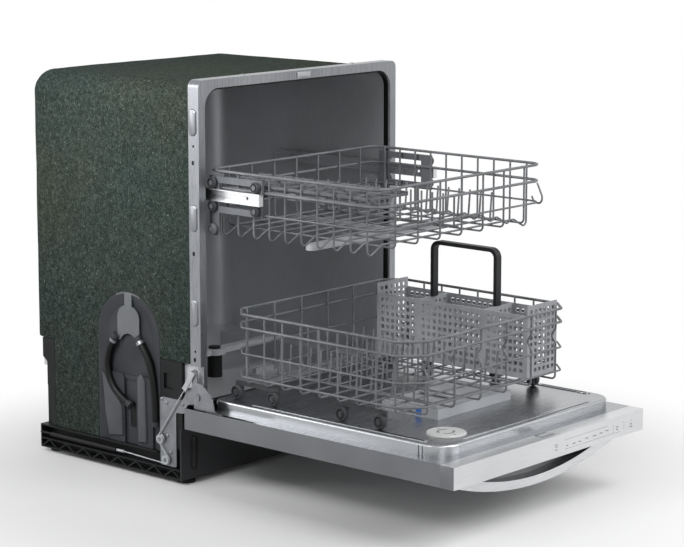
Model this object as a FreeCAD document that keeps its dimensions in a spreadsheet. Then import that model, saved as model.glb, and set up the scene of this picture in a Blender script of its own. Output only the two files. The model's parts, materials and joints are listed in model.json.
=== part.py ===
import FreeCAD, Part
import math
import os

# A built-in dishwasher with its door open flat and both racks pulled out.
# Millimetres. +X is to the right of someone facing the door, +Y goes back, +Z is up.
# Heights count from the floor. Depths are worked out from the front face of the tub frame,
# and every sub-part is then moved so that the origin lies under the middle of the object.

V = FreeCAD.Vector

doc = FreeCAD.newDocument("dishwasher")
sheet = doc.addObject("Spreadsheet::Sheet", "Sizes")

SIZES = [
    ("frame_width", 598, "front frame of the tub, outside"),
    ("frame_top", 825, "top of the front frame"),
    ("frame_flange", 18, "face of the frame around the opening"),
    ("frame_return", 27, "depth of the frame's side and top returns"),
    ("frame_skirt", 254, "height where the side returns end"),
    ("frame_corner", 14, "outer corners of the frame"),
    ("screw_radius", 2.5, "screw holes in the frame's sides"),
    ("screw_low", 284, "height of the lower screw holes"),
    ("screw_high", 695, "height of the upper screw holes"),
    ("tub_sheet", 1.5, "tub and frame sheet"),
    ("tub_floor", 187, "floor of the tub under the wheels"),
    ("well_depth", 40, "well in the middle of the tub floor"),
    ("well_width", 430, "width of the well"),
    ("well_inset", 60, "well to the front and back of the tub"),
    ("gasket_thick", 4, "door gasket"),
    ("gasket_front", 3, "frame face to the gasket"),
    ("gasket_depth", 10, "door gasket"),
    ("cabinet_depth", 518, "frame face to the back of the felt"),
    ("felt_thick", 8, "felt blanket"),
    ("felt_gap", 0.5, "felt to tub"),
    ("felt_corner", 48, "radius of the felt's rounded edges"),
    ("felt_back_end", 441, "frame face to the cut at the felt's back"),
    ("felt_back_step", 249, "height of the cut at the felt's back"),
    ("arch_middle", 214, "frame face to the middle of the side arch"),
    ("arch_half", 92, "radius of the side arch"),
    ("arch_spring", 287, "height where the side arch turns round"),
    ("duct_plate", 2.2, "back plate of the inlet duct"),
    ("duct_flank", 26, "sloping side of the inlet duct's pocket"),
    ("duct_rim", 3, "edge around the inlet duct's pocket"),
    ("duct_body", 32, "half the width of the inlet duct's chamber"),
    ("duct_body_low", 277, "underside of the inlet duct's chamber"),
    ("duct_body_high", 349, "top of the inlet duct's chamber"),
    ("duct_shoulder", 25, "rounded shoulders of the inlet duct's chamber"),
    ("duct_bite", 25, "radius of the round cut under the chamber"),
    ("duct_neck", 10.5, "half the width of the inlet duct's neck"),
    ("duct_ledge", 205, "height of the ledge across the duct"),
    ("duct_ledge_height", 9, "ledge across the duct"),
    ("duct_leg", 44, "width of the duct's two legs"),
    ("duct_leg_back", 15, "arch middle to the back leg"),
    ("duct_leg_front", 24, "arch middle to the front leg"),
    ("duct_leg_corner", 10, "round tops of the duct's legs"),
    ("duct_slot", 8, "half the width of the slot that takes the back hose"),
    ("duct_slot_front", 5, "arch middle to the middle of that slot"),
    ("duct_slot_low", 97, "lower end of that slot"),
    ("duct_slot_high", 136, "upper end of that slot"),
    ("hose_socket", 10, "length of a hose's socket"),
    ("hose_radius", 8, "rubber inlet hose"),
    ("clamp_wall", 1.4, "hose clamp"),
    ("clamp_width", 7, "hose clamp"),
    ("foot_height", 10, "floor to the underside of the base"),
    ("foot_radius", 18, "levelling foot"),
    ("foot_stud", 5, "radius of a foot's stud"),
    ("base_height", 50, "side rails of the base"),
    ("base_depth", 485, "frame face to the back of the base"),
    ("base_wall", 3, "moulded wall of the base"),
    ("base_ledge", 18, "height of the ribbed part of the rails"),
    ("web_inset", 9, "tub side to the web that carries it"),
    ("rail_start", 130, "frame face to the rails' top flanges"),
    ("support_rise", 60, "front support above the base's floor"),
    ("support_head", 38, "top of the back support, behind the felt's cut"),
    ("support_body", 25, "middle of the back support, behind the felt's cut"),
    ("support_waist", 9, "notch of the back support, behind the felt's cut"),
    ("support_foot", 14, "foot of the back support, behind the felt's cut"),
    ("support_head_height", 198, "height where the back support widens"),
    ("support_waist_height", 137, "height of the back support's notch"),
    ("window_width", 25, "window in the front support"),
    ("window_height", 32, "window in the front support"),
    ("window_end", 10, "window to the felt"),
    ("window_drop", 28, "window below the frame's side"),
    ("toe_setback", 57, "frame face to the toe kick"),
    ("toe_top", 116, "top of the toe kick"),
    ("toe_slot", 7, "half the width of a toe kick slot"),
    ("toe_slot_side", 37, "toe kick slot to the toe kick's end"),
    ("toe_slot_margin", 19, "toe kick slot to the toe kick's long edges"),
    ("filter_radius", 43, "filter cup"),
    ("filter_side", 95, "filter right of the middle"),
    ("filter_back", 196, "frame face to the middle of the filter"),
    ("filter_wall", 3, "filter cup"),
    ("sump_height", 70, "sump below the well"),
    ("sump_wall", 20, "sump around the filter"),
    ("pump_back", 76, "circulation pump behind the middle of the tub"),
    ("pump_radius", 32, "circulation pump"),
    ("pump_length", 110, "circulation pump's motor"),
    ("drain_radius", 22, "drain pump"),
    ("drain_length", 60, "drain pump's motor"),
    ("spigot_radius", 10, "water inlet and drain spigots"),
    ("spigot_length", 25, "spigots behind the base"),
    ("spigot_room", 1.5, "room around a spigot in the base's back wall"),
    ("inlet_offset", 85, "water inlet to the left end of the frame"),
    ("drain_offset", 209, "drain to the right end of the frame"),
    ("conduit_width", 48, "water conduit on the tub's back wall"),
    ("conduit_depth", 11, "water conduit"),
    ("conduit_top", 734, "top of the water conduit"),
    ("sprayer_radius", 30, "ceiling sprayer"),
    ("vent_radius", 21, "round ends of the side vent"),
    ("vent_low", 265, "lower round end of the side vent"),
    ("vent_high", 342, "upper round end of the side vent"),
    ("vent_middle", 41, "frame face to the middle of the side vent"),
    ("vent_thick", 4, "side vent"),
    ("hinge_y", 12, "hinge pin behind the frame face"),
    ("hinge_z", 190, "height of the hinge pin"),
    ("hinge_pin", 4, "radius of the hinge pin"),
    ("hinge_plate", 2, "thickness of the fixed hinge plate"),
    ("hinge_arm", 2.5, "thickness of the door's hinge arm"),
    ("hinge_sector", 56, "round part of the hinge arm"),
    ("hinge_tail", 150, "hinge arm inside the door, from the frame face"),
    ("hinge_room", 20, "frame face to the end of the liner's side strips"),
    ("running_gap", 0.05, "shaft in a hole"),
    ("slide_gap", 0.3, "faces that pass each other"),
    ("pulley_radius", 9.5, "cord pulley"),
    ("pulley_groove", 7, "radius at the bottom of a pulley's groove"),
    ("pulley_width", 6, "cord pulley"),
    ("pulley_pin", 2.5, "radius of a pulley's pin"),
    ("cord_side", 4, "cord and spring out from the hinge plate"),
    ("cord_wire", 1.2, "radius of the door cord"),
    ("sleeve_width", 12, "cord sleeve"),
    ("sleeve_thick", 4, "cord sleeve"),
    ("spring_radius", 5, "door spring's tube"),
    ("spring_hook", 2.6, "radius of a spring's hooks"),
    ("door_width", 606, "outer door panel"),
    ("door_reach", 648, "frame face to the door's front edge"),
    ("door_tail", 42, "door behind the frame face"),
    ("door_under", 122, "underside of the open door"),
    ("door_thick", 43, "depth of the outer panel"),
    ("door_skin", 0.7, "door sheet"),
    ("liner_rise", 22.5, "raised part of the inner liner"),
    ("liner_width", 548, "raised part of the inner liner"),
    ("liner_corner", 45, "front corners of the liner"),
    ("liner_edge", 5, "rounded edge of the liner"),
    ("liner_setback", 16, "control fascia to the raised part of the liner"),
    ("liner_start", 12, "frame face to the back end of the raised part"),
    ("liner_back", 6, "liner's flange behind the frame face"),
    ("seal_height", 8, "seal along the bottom of the door"),
    ("pad_thick", 6, "insulation pad in the door"),
    ("fascia_depth", 32, "control fascia along the front edge"),
    ("fascia_wall", 2, "wall of the fascia"),
    ("board_thick", 1.6, "control board"),
    ("board_width", 320, "control board"),
    ("latch_width", 38, "latch lever"),
    ("latch_depth", 12, "latch lever"),
    ("latch_drop", 8, "latch pivot below the door's inner face"),
    ("latch_pin", 1.5, "radius of the latch pivot"),
    ("handle_span", 580, "bow handle, end to end"),
    ("handle_grip", 456, "finger gap behind the bow handle"),
    ("handle_drop", 54, "bow handle below the door"),
    ("handle_thick", 17, "bow handle at its middle"),
    ("handle_depth", 26, "bow handle, front to back"),
    ("dispenser_width", 230, "dispenser housing"),
    ("dispenser_length", 140, "dispenser housing"),
    ("dispenser_front", 458, "frame face to the dispenser's front"),
    ("dispenser_rise", 19, "dispenser above the liner"),
    ("dispenser_wall", 12, "housing around the detergent cup"),
    ("cup_width", 86, "detergent cup"),
    ("lid_overlap", 6, "lid over the edge of the detergent cup"),
    ("lid_thick", 3, "detergent lid"),
    ("cap_radius", 38, "rinse-aid cap"),
    ("cap_stem", 27, "rinse-aid cap below the liner"),
    ("cap_thick", 6, "rinse-aid cap"),
    ("cap_side", 186, "rinse-aid cap left of the middle"),
    ("cap_front", 536, "frame face to the middle of the cap"),
    ("rim_wire", 2.8, "radius of the rim wires"),
    ("rack_wire", 2.0, "radius of the other rack wires"),
    ("tine_end", 40, "end of a rack to its first fixed tine"),
    ("fold_tine_end", 100, "front of the lower rack to its first folding tine"),
    ("rack_bend", 9, "bend of a rack wire"),
    ("wire_gap", 0.05, "wires that cross"),
    ("tine_pitch", 26, "tines of a row"),
    ("rack_room", 47, "end of the frame to a rack's rim"),
    ("lower_width", "=frame_width - 2 * rack_room", "lower rack, rim to rim"),
    ("lower_front", 508, "frame face to the lower rack's front rim"),
    ("lower_depth", 476, "lower rack, rim to rim"),
    ("lower_rim", 364, "top rim of the lower rack"),
    ("lower_floor", 225, "floor wires of the lower rack"),
    ("lower_chamfer", 38, "cut corners of the lower rack"),
    ("lower_tine", 62, "fixed tines of the lower rack"),
    ("lower_fold_tine", 78, "folding tines of the lower rack"),
    ("wheel_radius", 14, "lower rack wheel"),
    ("wheel_width", 10, "lower rack wheel"),
    ("wheel_track", 482, "lower rack wheels, middle to middle"),
    ("axle_radius", 3, "wheel and roller axles"),
    ("axle_head", 5, "radius of the heads of the wheel and roller axles"),
    ("axle_cap", 1.2, "thickness of those heads"),
    ("carrier_thick", 5, "plates that carry the wheels"),
    ("carrier_width", 18, "plates that carry the wheels"),
    ("basket_side", 18, "silverware basket to the right rim"),
    ("basket_front", 26, "silverware basket to the front rim"),
    ("basket_width", 98, "silverware basket"),
    ("basket_length", 392, "silverware basket"),
    ("basket_height", 148, "silverware basket"),
    ("basket_wall", 2.4, "silverware basket"),
    ("basket_dip", 20, "inner walls and sides below the basket's ends"),
    ("grip_start", 110, "basket front to its handle"),
    ("grip_length", 172, "basket handle"),
    ("grip_height", 118, "basket handle"),
    ("grip_thick", 8, "basket handle"),
    ("grip_width", 16, "basket handle"),
    ("upper_width", "=frame_width - 2 * rack_room", "upper rack, rim to rim"),
    ("upper_front", 426, "frame face to the upper rack's front rim"),
    ("upper_depth", 444, "upper rack, rim to rim"),
    ("upper_rim", 644, "top rim of the upper rack"),
    ("upper_floor", 533, "floor wires of the upper rack"),
    ("upper_corner", 24, "corners of the upper rack's rims"),
    ("upper_tine", 52, "fixed tines of the upper rack"),
    ("upper_fold_tine", 60, "folding tines of the upper rack"),
    ("side_dip", 22, "side wires dip below the upper rack's floor"),
    ("dip_width", 42, "slanted part of the side wires"),
    ("shelf_width", 112, "cup shelf"),
    ("shelf_thick", 4, "cup shelf"),
    ("shelf_drop", 22, "cup shelf below the top rim"),
    ("shelf_end", 30, "cup shelf to the ends of the rack"),
    ("shelf_bar", 9, "bars of the cup shelf"),
    ("shelf_rod", 3, "radius of the rod that the cup shelf turns on"),
    ("bracket_thick", 6, "brackets that carry the rollers"),
    ("bracket_width", 26, "brackets that carry the rollers"),
    ("roller_radius", 11, "upper rack roller"),
    ("roller_width", 9, "upper rack roller"),
    ("roller_back", 6, "frame face to the rear rollers"),
    ("roller_front", 122, "frame face to the front rollers"),
    ("spare_drop", 46, "spare roller below the lower roller"),
    ("rail_mid", 599, "middle height of the upper rack's rails"),
    ("rail_height", 24, "upper rack rail"),
    ("rail_wall", 2, "upper rack rail"),
    ("rail_width", 11, "upper rack rail"),
    ("rail_length", 455, "upper rack rail"),
    ("rail_front", 138, "frame face to the rail's front end"),
    ("rail_stop", 6.5, "stop in the rail's front end"),
    ("guide_front", 20, "frame face to the rail guides"),
    ("guide_length", 76, "rail guides"),
    ("arm_radius", 205, "spray arms, middle to tip"),
    ("arm_width", 22, "spray arm blades"),
    ("arm_thick", 12, "spray arms"),
    ("arm_boss", 24, "radius of a spray arm's boss"),
    ("arm_pivot", 8, "radius of a spray arm's pivot"),
    ("arm_cap", 13, "radius of a pivot's cap"),
    ("arm_cap_thick", 4, "cap of a pivot"),
    ("arm_clearance", 10, "lower spray arm above the tub floor"),
    ("feed_height", 14, "feed tube under the upper rack"),
    ("feed_width", 26, "feed tube under the upper rack"),
]


class Size(float):
    """A length that remembers the sheet cells that it was worked out from."""

    def __new__(cls, number, text):
        size = super().__new__(cls, number)
        size.text = text
        return size

    def __add__(self, other):
        return Size(float(self) + float(other), "(%s + %s)" % (self.text, words(other)))

    def __radd__(self, other):
        return Size(float(other) + float(self), "(%s + %s)" % (words(other), self.text))

    def __sub__(self, other):
        return Size(float(self) - float(other), "(%s - %s)" % (self.text, words(other)))

    def __rsub__(self, other):
        return Size(float(other) - float(self), "(%s - %s)" % (words(other), self.text))

    def __mul__(self, other):
        return Size(float(self) * float(other), "(%s * %s)" % (self.text, words(other)))

    __rmul__ = __mul__

    def __truediv__(self, other):
        return Size(float(self) / float(other), "(%s / %s)" % (self.text, words(other)))

    def __neg__(self):
        return Size(-float(self), "(-1 * %s)" % self.text)


def words(value):
    return value.text if isinstance(value, Size) else repr(float(value))


class Sizes:
    """The sheet's cells by name."""


def fill_sheet():
    cells = Sizes()
    for row, (alias, number, meaning) in enumerate(SIZES, start=1):
        sheet.set("A%d" % row, str(number))
        sheet.set("B%d" % row, meaning)
        sheet.setAlias("A%d" % row, alias)
    doc.recompute()
    for alias, number, meaning in SIZES:
        setattr(cells, alias, Size(sheet.get(alias), "Sizes." + alias))
    return cells


S = fill_sheet()
nodes = []


# Building blocks

def bind(obj, prop, value):
    """Ties a property to the sheet."""
    obj.setExpression(prop, words(value))


def bind_place(obj, x, y, z):
    bind(obj, ".Placement.Base.x", x)
    bind(obj, ".Placement.Base.y", y)
    bind(obj, ".Placement.Base.z", z)


def block(name, x, y, z):
    """A box between two values on each axis."""
    obj = doc.addObject("Part::Box", name)
    bind(obj, "Length", x[1] - x[0])
    bind(obj, "Width", y[1] - y[0])
    bind(obj, "Height", z[1] - z[0])
    bind_place(obj, x[0], y[0], z[0])
    return obj


TURNS = {
    "x": FreeCAD.Rotation(V(0, 1, 0), 90),
    "y": FreeCAD.Rotation(V(1, 0, 0), -90),
    "z": FreeCAD.Rotation(),
}


def rod(name, axis, start, radius, length):
    """A cylinder that runs along an axis from its start."""
    obj = doc.addObject("Part::Cylinder", name)
    bind(obj, "Radius", radius)
    bind(obj, "Height", length)
    obj.Placement = FreeCAD.Placement(V(), TURNS[axis])
    bind_place(obj, *start)
    return obj


def join(name, parts):
    obj = doc.addObject("Part::MultiFuse", name)
    obj.Shapes = parts
    return obj


def cut(name, base, tools):
    """Takes one or more tools out of a base."""
    obj = doc.addObject("Part::Cut", name)
    obj.Base = base
    obj.Tool = tools[0] if len(tools) == 1 else join(name + "_tools", tools)
    return obj


def common(name, base, tool):
    """What two pieces share."""
    obj = doc.addObject("Part::Common", name)
    obj.Base = base
    obj.Tool = tool
    return obj


def solid(name, shape):
    """A shape that no primitive gives."""
    obj = doc.addObject("Part::Feature", name)
    obj.Shape = shape
    return obj


def fillet(name, base, radius, chosen):
    """Rounds the edges of a base whose middles pass the test."""
    doc.recompute()
    edges = []
    for index, edge in enumerate(base.Shape.Edges, start=1):
        if chosen(edge.BoundBox.Center, edge):
            edges.append((index, float(radius), float(radius)))
    obj = doc.addObject("Part::Fillet", name)
    obj.Base = base
    obj.Edges = edges
    return obj


def node(label, parts):
    """A finished sub-part: its solids together, moved to the object's origin."""
    obj = doc.addObject("Part::Compound", label)
    obj.Label = label
    obj.Links = parts
    bind(obj, ".Placement.Base.y", origin_shift)
    nodes.append(obj)
    return obj


def mirrored(name, base):
    """The same piece on the other side of the object."""
    obj = doc.addObject("Part::Mirroring", name)
    obj.Source = base
    obj.Normal = V(1, 0, 0)
    return obj


def pair(label, parts):
    """A sub-part of left pieces with their right-hand twins."""
    both = list(parts)
    for index, part in enumerate(parts):
        both.append(mirrored("%s_right_%d" % (label, index), part))
    return node(label, both)


def rounded_face(points, radii):
    """A flat face whose corners are rounded, each by its own radius (0 stays sharp)."""
    edges = []
    count = len(points)
    starts = []
    ends = []
    middles = []
    for index in range(count):
        here = points[index]
        radius = radii[index]
        into = (here - points[index - 1]).normalize()
        out = (points[(index + 1) % count] - here).normalize()
        if radius == 0:
            starts.append(here)
            ends.append(here)
            middles.append(None)
            continue
        turn = into.getAngle(out)
        reach = radius * math.tan(turn / 2)
        bisector = (out - into).normalize()
        starts.append(here - into * reach)
        ends.append(here + out * reach)
        middles.append(here + bisector * (radius / math.cos(turn / 2) - radius))
    for index in range(count):
        if middles[index] is not None:
            edges.append(Part.Arc(starts[index], middles[index], ends[index]).toShape())
        nearest = starts[(index + 1) % count]
        if (nearest - ends[index]).Length > 1e-6:
            edges.append(Part.LineSegment(ends[index], nearest).toShape())
    return Part.Face(Part.Wire(edges))


def side_face(x, outline, radii):
    """A rounded face in a plane square to X, from (y, z) points."""
    return rounded_face([V(x, y, z) for y, z in outline], radii)


def bent_wire(points, radius, bend, closed=False):
    """The straight runs and the bends of a wire, end to end."""
    pieces = []
    count = len(points)
    starts = []
    ends = []
    for index in range(count):
        here = points[index]
        if not closed and index in (0, count - 1):
            starts.append(here)
            ends.append(here)
            continue
        into = (here - points[index - 1]).normalize()
        out = (points[(index + 1) % count] - here).normalize()
        turn = into.getAngle(out)
        reach = bend * math.tan(turn / 2)
        first = here - into * reach
        starts.append(first)
        ends.append(here + out * reach)
        middle = here + (out - into).normalize() * (bend / math.cos(turn / 2))
        section = Part.Face(Part.Wire(Part.makeCircle(radius, first, into)))
        pieces.append(section.revolve(middle, into.cross(out), math.degrees(turn)))
    runs = count if closed else count - 1
    for index in range(runs):
        first = ends[index]
        last = starts[(index + 1) % count]
        run = last - first
        if run.Length > 1e-6:
            pieces.append(Part.makeCylinder(radius, run.Length, first, run))
    return pieces


def straight(first, last, radius):
    run = last - first
    return Part.makeCylinder(radius, run.Length, first, run)


def spread(first, last, count):
    """Evenly spaced values from first to last."""
    return [first + (last - first) * index / (count - 1) for index in range(count)]


def wheel_shape(radius, width, bore, first_x):
    """A wheel with a rounded tread and a dished face, turned about X."""
    rim = radius * 0.16
    dish = width * 0.22
    hub = bore + (radius - bore) * 0.35
    outline = [
        V(0, bore, 0), V(0, hub, 0), V(dish, hub + rim, 0), V(dish, radius - 2 * rim, 0),
        V(0, radius - rim, 0), V(rim, radius, 0), V(width - rim, radius, 0),
        V(width, radius - rim, 0), V(width, bore, 0),
    ]
    face = Part.Face(Part.makePolygon(outline + outline[:1]))
    shape = face.revolve(V(0, 0, 0), V(1, 0, 0), 360)
    shape.translate(V(first_x, 0, 0))
    return shape


# Shared positions

origin_shift = (S.door_reach - S.cabinet_depth) / 2

frame_half = S.frame_width / 2
tub_half = frame_half - S.frame_flange
tub_out = tub_half + S.tub_sheet
tub_top = S.frame_top - S.frame_flange
felt_in = tub_out + S.felt_gap
felt_half = felt_in + S.felt_thick
felt_top = tub_top + S.tub_sheet + S.felt_gap + S.felt_thick
felt_front = S.frame_return + S.felt_gap
felt_front_end = S.arch_middle - S.arch_half
felt_back_in = S.cabinet_depth - S.felt_thick
tub_back = felt_back_in - S.felt_gap - S.tub_sheet
well_floor = S.tub_floor - S.well_depth
well_under = well_floor - S.tub_sheet
base_under = S.foot_height
base_floor = base_under + S.base_wall
base_top = base_under + S.base_height
base_front = S.toe_setback + S.base_wall
rail_out = frame_half - S.base_wall
door_half = S.door_width / 2
door_top = S.door_under + S.door_thick
liner_top = door_top + S.liner_rise
liner_half = S.liner_width / 2
fascia_back = -S.door_reach + S.fascia_depth
plate_in = felt_half
plate_out = plate_in + S.hinge_plate
arm_in = plate_out + S.slide_gap
arm_out = arm_in + S.hinge_arm
cord_x = plate_out + S.cord_side
tub_corner = S.felt_corner - S.felt_thick - S.felt_gap - S.tub_sheet
spray_y = tub_back / 2
lower_arm_z = S.tub_floor + S.arm_clearance
dispenser_left = -S.dispenser_width / 2
dispenser_low = S.door_under + S.door_skin + S.pad_thick + 8 * S.slide_gap
dispenser_back = -S.dispenser_front + S.dispenser_length
lower_back = -S.lower_front + S.lower_depth
upper_back = -S.upper_front + S.upper_depth
bracket_in = S.upper_width / 2 + S.rim_wire + S.slide_gap
bracket_out = bracket_in + S.bracket_thick
rail_in = bracket_out + S.slide_gap
rail_outer = rail_in + S.rail_width
rail_low = S.rail_mid - S.rail_height / 2
rail_high = S.rail_mid + S.rail_height / 2
spigot_height = base_floor + 2 * S.spigot_radius
slot_middle = frame_half - S.toe_slot_side
inlet_side = -frame_half + S.inlet_offset
drain_side = frame_half - S.drain_offset


# Tub, front frame and gasket

def round_edges(back, top):
    """Picks the long top edges, and the upright and top edges at the back of a box."""
    def chosen(middle, edge):
        box = edge.BoundBox
        at_top = middle.z > top - 1
        at_back = middle.y > back - 1
        upright = box.ZLength > S.felt_corner
        along_back = box.XLength > S.felt_corner and at_top
        along_side = box.YLength > S.felt_corner and at_top
        return along_side or (at_back and (upright or along_back))
    return chosen


def make_tub():
    """A sheet wrapped over the sides and top, a drawn back, a floor and a well, welded edge to edge."""
    sheet_out = S.tub_sheet
    back = tub_back + sheet_out
    outer = block("tub_outer", (-tub_out, tub_out), (0, back), (S.tub_floor, tub_top + sheet_out))
    inside = block("tub_inside", (-tub_half, tub_half), (-sheet_out, tub_back), (S.tub_floor, tub_top))
    outer = fillet("tub_outer_round", outer, tub_corner + sheet_out, round_edges(tub_back, tub_top))
    inside = fillet("tub_inside_round", inside, tub_corner, round_edges(tub_back, tub_top))
    shell = cut("tub_shell", outer, [inside])
    seam = tub_back - tub_corner
    behind = block("tub_behind_seam", (-frame_half, frame_half), (seam, 2 * tub_back),
                   (S.tub_floor, S.frame_top))
    wrap = cut("tub_wrap", shell, [behind])
    drawn_back = common("tub_drawn_back", shell, behind)
    floor = block("tub_floor_sheet", (-tub_out, tub_out), (0, back), (S.tub_floor - sheet_out, S.tub_floor))
    floor = fillet("tub_floor_round", floor, tub_corner + sheet_out,
                   lambda middle, edge: middle.y > tub_back and edge.BoundBox.XLength < sheet_out)
    well_half = S.well_width / 2
    across = (-well_half, well_half)
    along = (S.well_inset, tub_back - S.well_inset)
    mouth = block("tub_well_mouth", across, along, (S.tub_floor - 2 * sheet_out, S.tub_floor + sheet_out))
    floor = cut("tub_floor_cut", floor, [mouth])
    deep = (well_under, S.tub_floor - sheet_out)
    whole = (across[0] - sheet_out, across[1] + sheet_out)
    walls = [block("tub_well_left", (whole[0], across[0]), along, deep),
             block("tub_well_right", (across[1], whole[1]), along, deep),
             block("tub_well_front", whole, (along[0] - sheet_out, along[0]), deep),
             block("tub_well_back", whole, (along[1], along[1] + sheet_out), deep)]
    bottom = block("tub_well_floor", across, along, (well_under, well_floor))
    hole = rod("tub_filter_hole", "z", (S.filter_side, S.filter_back, well_under - sheet_out),
               S.filter_radius + S.slide_gap, 4 * sheet_out)
    bottom = cut("tub_well_drain", bottom, [hole])
    node("tub", [wrap, drawn_back, floor, bottom] + walls)


def front_plate(half, low, high, corner, y, depth):
    """A plate that faces the front, with round top corners."""
    outline = [V(-half, y, low), V(half, y, low), V(half, y, high), V(-half, y, high)]
    return rounded_face(outline, [0, 0, corner, corner]).extrude(V(0, depth, 0))


def make_frame():
    sheet_out = S.tub_sheet
    foot_half = plate_in - S.slide_gap
    face = front_plate(frame_half, S.frame_skirt, S.frame_top, S.frame_corner, -sheet_out, sheet_out)
    feet = front_plate(foot_half, S.tub_floor, S.frame_skirt, 0, -sheet_out, sheet_out)
    opening = front_plate(tub_half, S.tub_floor - 1, tub_top, tub_corner, -2 * sheet_out, 4 * sheet_out)
    band = front_plate(frame_half, S.frame_skirt, S.frame_top, S.frame_corner, 0, S.frame_return)
    hollow = front_plate(frame_half - sheet_out, S.frame_skirt - 1, S.frame_top - sheet_out,
                         S.frame_corner - sheet_out, 0, S.frame_return + 1)
    holes = []
    for index, height in enumerate((S.screw_low, S.screw_high)):
        holes.append(rod("frame_hole_%d" % index, "x", (-frame_half - 1, S.frame_return / 2, height),
                         S.screw_radius, S.frame_width + 2))
    whole = face.fuse([feet, band.cut(hollow)]).cut(opening).removeSplitter()
    node("tub_front_frame", [cut("frame_drilled", solid("frame_sheet", whole), holes)])


def make_gasket():
    """A rubber strip round the inside of the opening."""
    inner_half = tub_half - S.gasket_thick
    inner_top = tub_top - S.gasket_thick
    outer = front_plate(tub_half, S.tub_floor, tub_top, tub_corner + S.slide_gap, S.gasket_front,
                        S.gasket_depth)
    inner = front_plate(inner_half, S.tub_floor - 1, inner_top, tub_corner - S.gasket_thick,
                        S.gasket_front - 1, S.gasket_depth + 2)
    node("tub_gasket", [solid("gasket_strip", outer.cut(inner))])


# Felt blanket with its arch on the left

def arch(name, half, low, x):
    """A round-topped block on the left side."""
    leg = block(name + "_leg", x, (S.arch_middle - half, S.arch_middle + half), (low, S.arch_spring))
    crown = rod(name + "_crown", "x", (x[0], S.arch_middle, S.arch_spring), half, x[1] - x[0])
    return join(name, [leg, crown])


def make_blanket():
    """Felt round the sides, top and back, in two pieces that meet at a seam."""
    low = base_top + S.slide_gap
    under_top = felt_top - S.felt_thick
    outer = block("felt_outer", (-felt_half, felt_half), (felt_front, S.cabinet_depth), (low, felt_top))
    inside = block("felt_inside", (-felt_in, felt_in), (felt_front - 1, felt_back_in), (low - 1, under_top))
    outer = fillet("felt_outer_round", outer, S.felt_corner, round_edges(S.cabinet_depth, felt_top))
    inside = fillet("felt_inside_round", inside, S.felt_corner - S.felt_thick,
                    round_edges(felt_back_in, under_top))
    wide = (-2 * felt_half, 2 * felt_half)
    front_notch = block("felt_front_notch", wide, (felt_front - 1, felt_front_end + 1),
                        (low - 1, S.frame_skirt))
    back_notch = block("felt_back_notch", wide, (S.felt_back_end, S.cabinet_depth + 1),
                       (low - 1, S.felt_back_step))
    opening = arch("felt_arch", S.arch_half, low - 1, (-2 * felt_half, -felt_in / 2))
    shell = cut("felt_shell", outer, [inside, front_notch, back_notch, opening])
    behind = block("felt_behind_seam", wide, (S.cabinet_depth - S.felt_corner, 2 * S.cabinet_depth),
                   (0, 2 * S.frame_top))
    node("insulation_blanket", [cut("felt_wrap", shell, [behind]), common("felt_back", shell, behind)])


# Base, feet, toe kick and supports

RIB_COUNT = 16


def base_rib(name, index, x):
    """One slanting rib of the zigzag along a side rail."""
    wall = float(S.base_wall)
    low = float(base_under)
    height = float(S.base_ledge)
    step = float(S.base_depth - base_front) / RIB_COUNT
    foot = float(base_front) + step * (index + index % 2)
    head = float(base_front) + step * (index + 1 - index % 2)
    lean = wall / 2 * math.hypot(step, height) / height
    outline = [V(x[0], foot - lean, low), V(x[0], foot + lean, low),
               V(x[0], head + lean, low + height), V(x[0], head - lean, low + height)]
    rib = Part.Face(Part.makePolygon(outline + outline[:1])).extrude(V(x[1] - x[0], 0, 0))
    limit = Part.makeBox(x[1] - x[0], S.base_depth - base_front, height, V(x[0], base_front, low))
    return solid(name, rib.common(limit))


def make_base():
    wall = S.base_wall
    web_out = tub_out - S.web_inset
    ledge = base_under + S.base_ledge
    back = (S.base_depth - wall, S.base_depth)
    front = (base_front, base_front + wall)
    whole = (base_front, S.base_depth)
    parts = [block("base_floor", (-rail_out, rail_out), whole, (base_under, base_floor)),
             block("base_back", (-rail_out, rail_out), back, (base_under, base_top))]
    for side, sign in (("left", -1), ("right", 1)):
        flange = sorted((sign * web_out, sign * rail_out))
        web = sorted((sign * web_out, sign * (web_out - wall)))
        edge = sorted((sign * rail_out, sign * (rail_out - wall)))
        parts.append(block("base_top_" + side, flange, (S.rail_start, S.base_depth),
                           (base_top - wall, base_top)))
        parts.append(block("base_ledge_" + side, flange, whole, (ledge, ledge + wall)))
        parts.append(block("base_web_" + side, web, whole, (base_under, S.tub_floor - S.tub_sheet)))
        for index in range(RIB_COUNT):
            parts.append(base_rib("base_rib_%s_%d" % (side, index), index, edge))
    holes = []
    for index, x in enumerate((inlet_side, drain_side)):
        holes.append(rod("base_spigot_hole_%d" % index, "y", (x, S.base_depth - 2 * wall, spigot_height),
                         S.spigot_radius + S.spigot_room, 3 * wall))
    front_half = slot_middle - S.toe_slot - wall
    front_wall = block("base_front", (-front_half, front_half), front, (base_floor, base_top))
    node("base_tray", [cut("base_drilled", join("base_all", parts), holes), front_wall])


def make_feet():
    side = frame_half - 2 * S.foot_radius
    front = base_front + S.foot_radius
    back = S.base_depth - S.foot_radius - S.base_wall
    feet = []
    for index, (x, y) in enumerate(((-side, front), (side, front), (-side, back), (side, back))):
        pad = rod("foot_pad_%d" % index, "z", (x, y, 0), S.foot_radius, 0.6 * S.foot_height)
        half = 0.5 * S.foot_height
        stud = rod("foot_stud_%d" % index, "z", (x, y, half), S.foot_stud, half)
        feet.append(join("foot_%d" % index, [pad, stud]))
    node("levelling_feet", feet)


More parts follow.
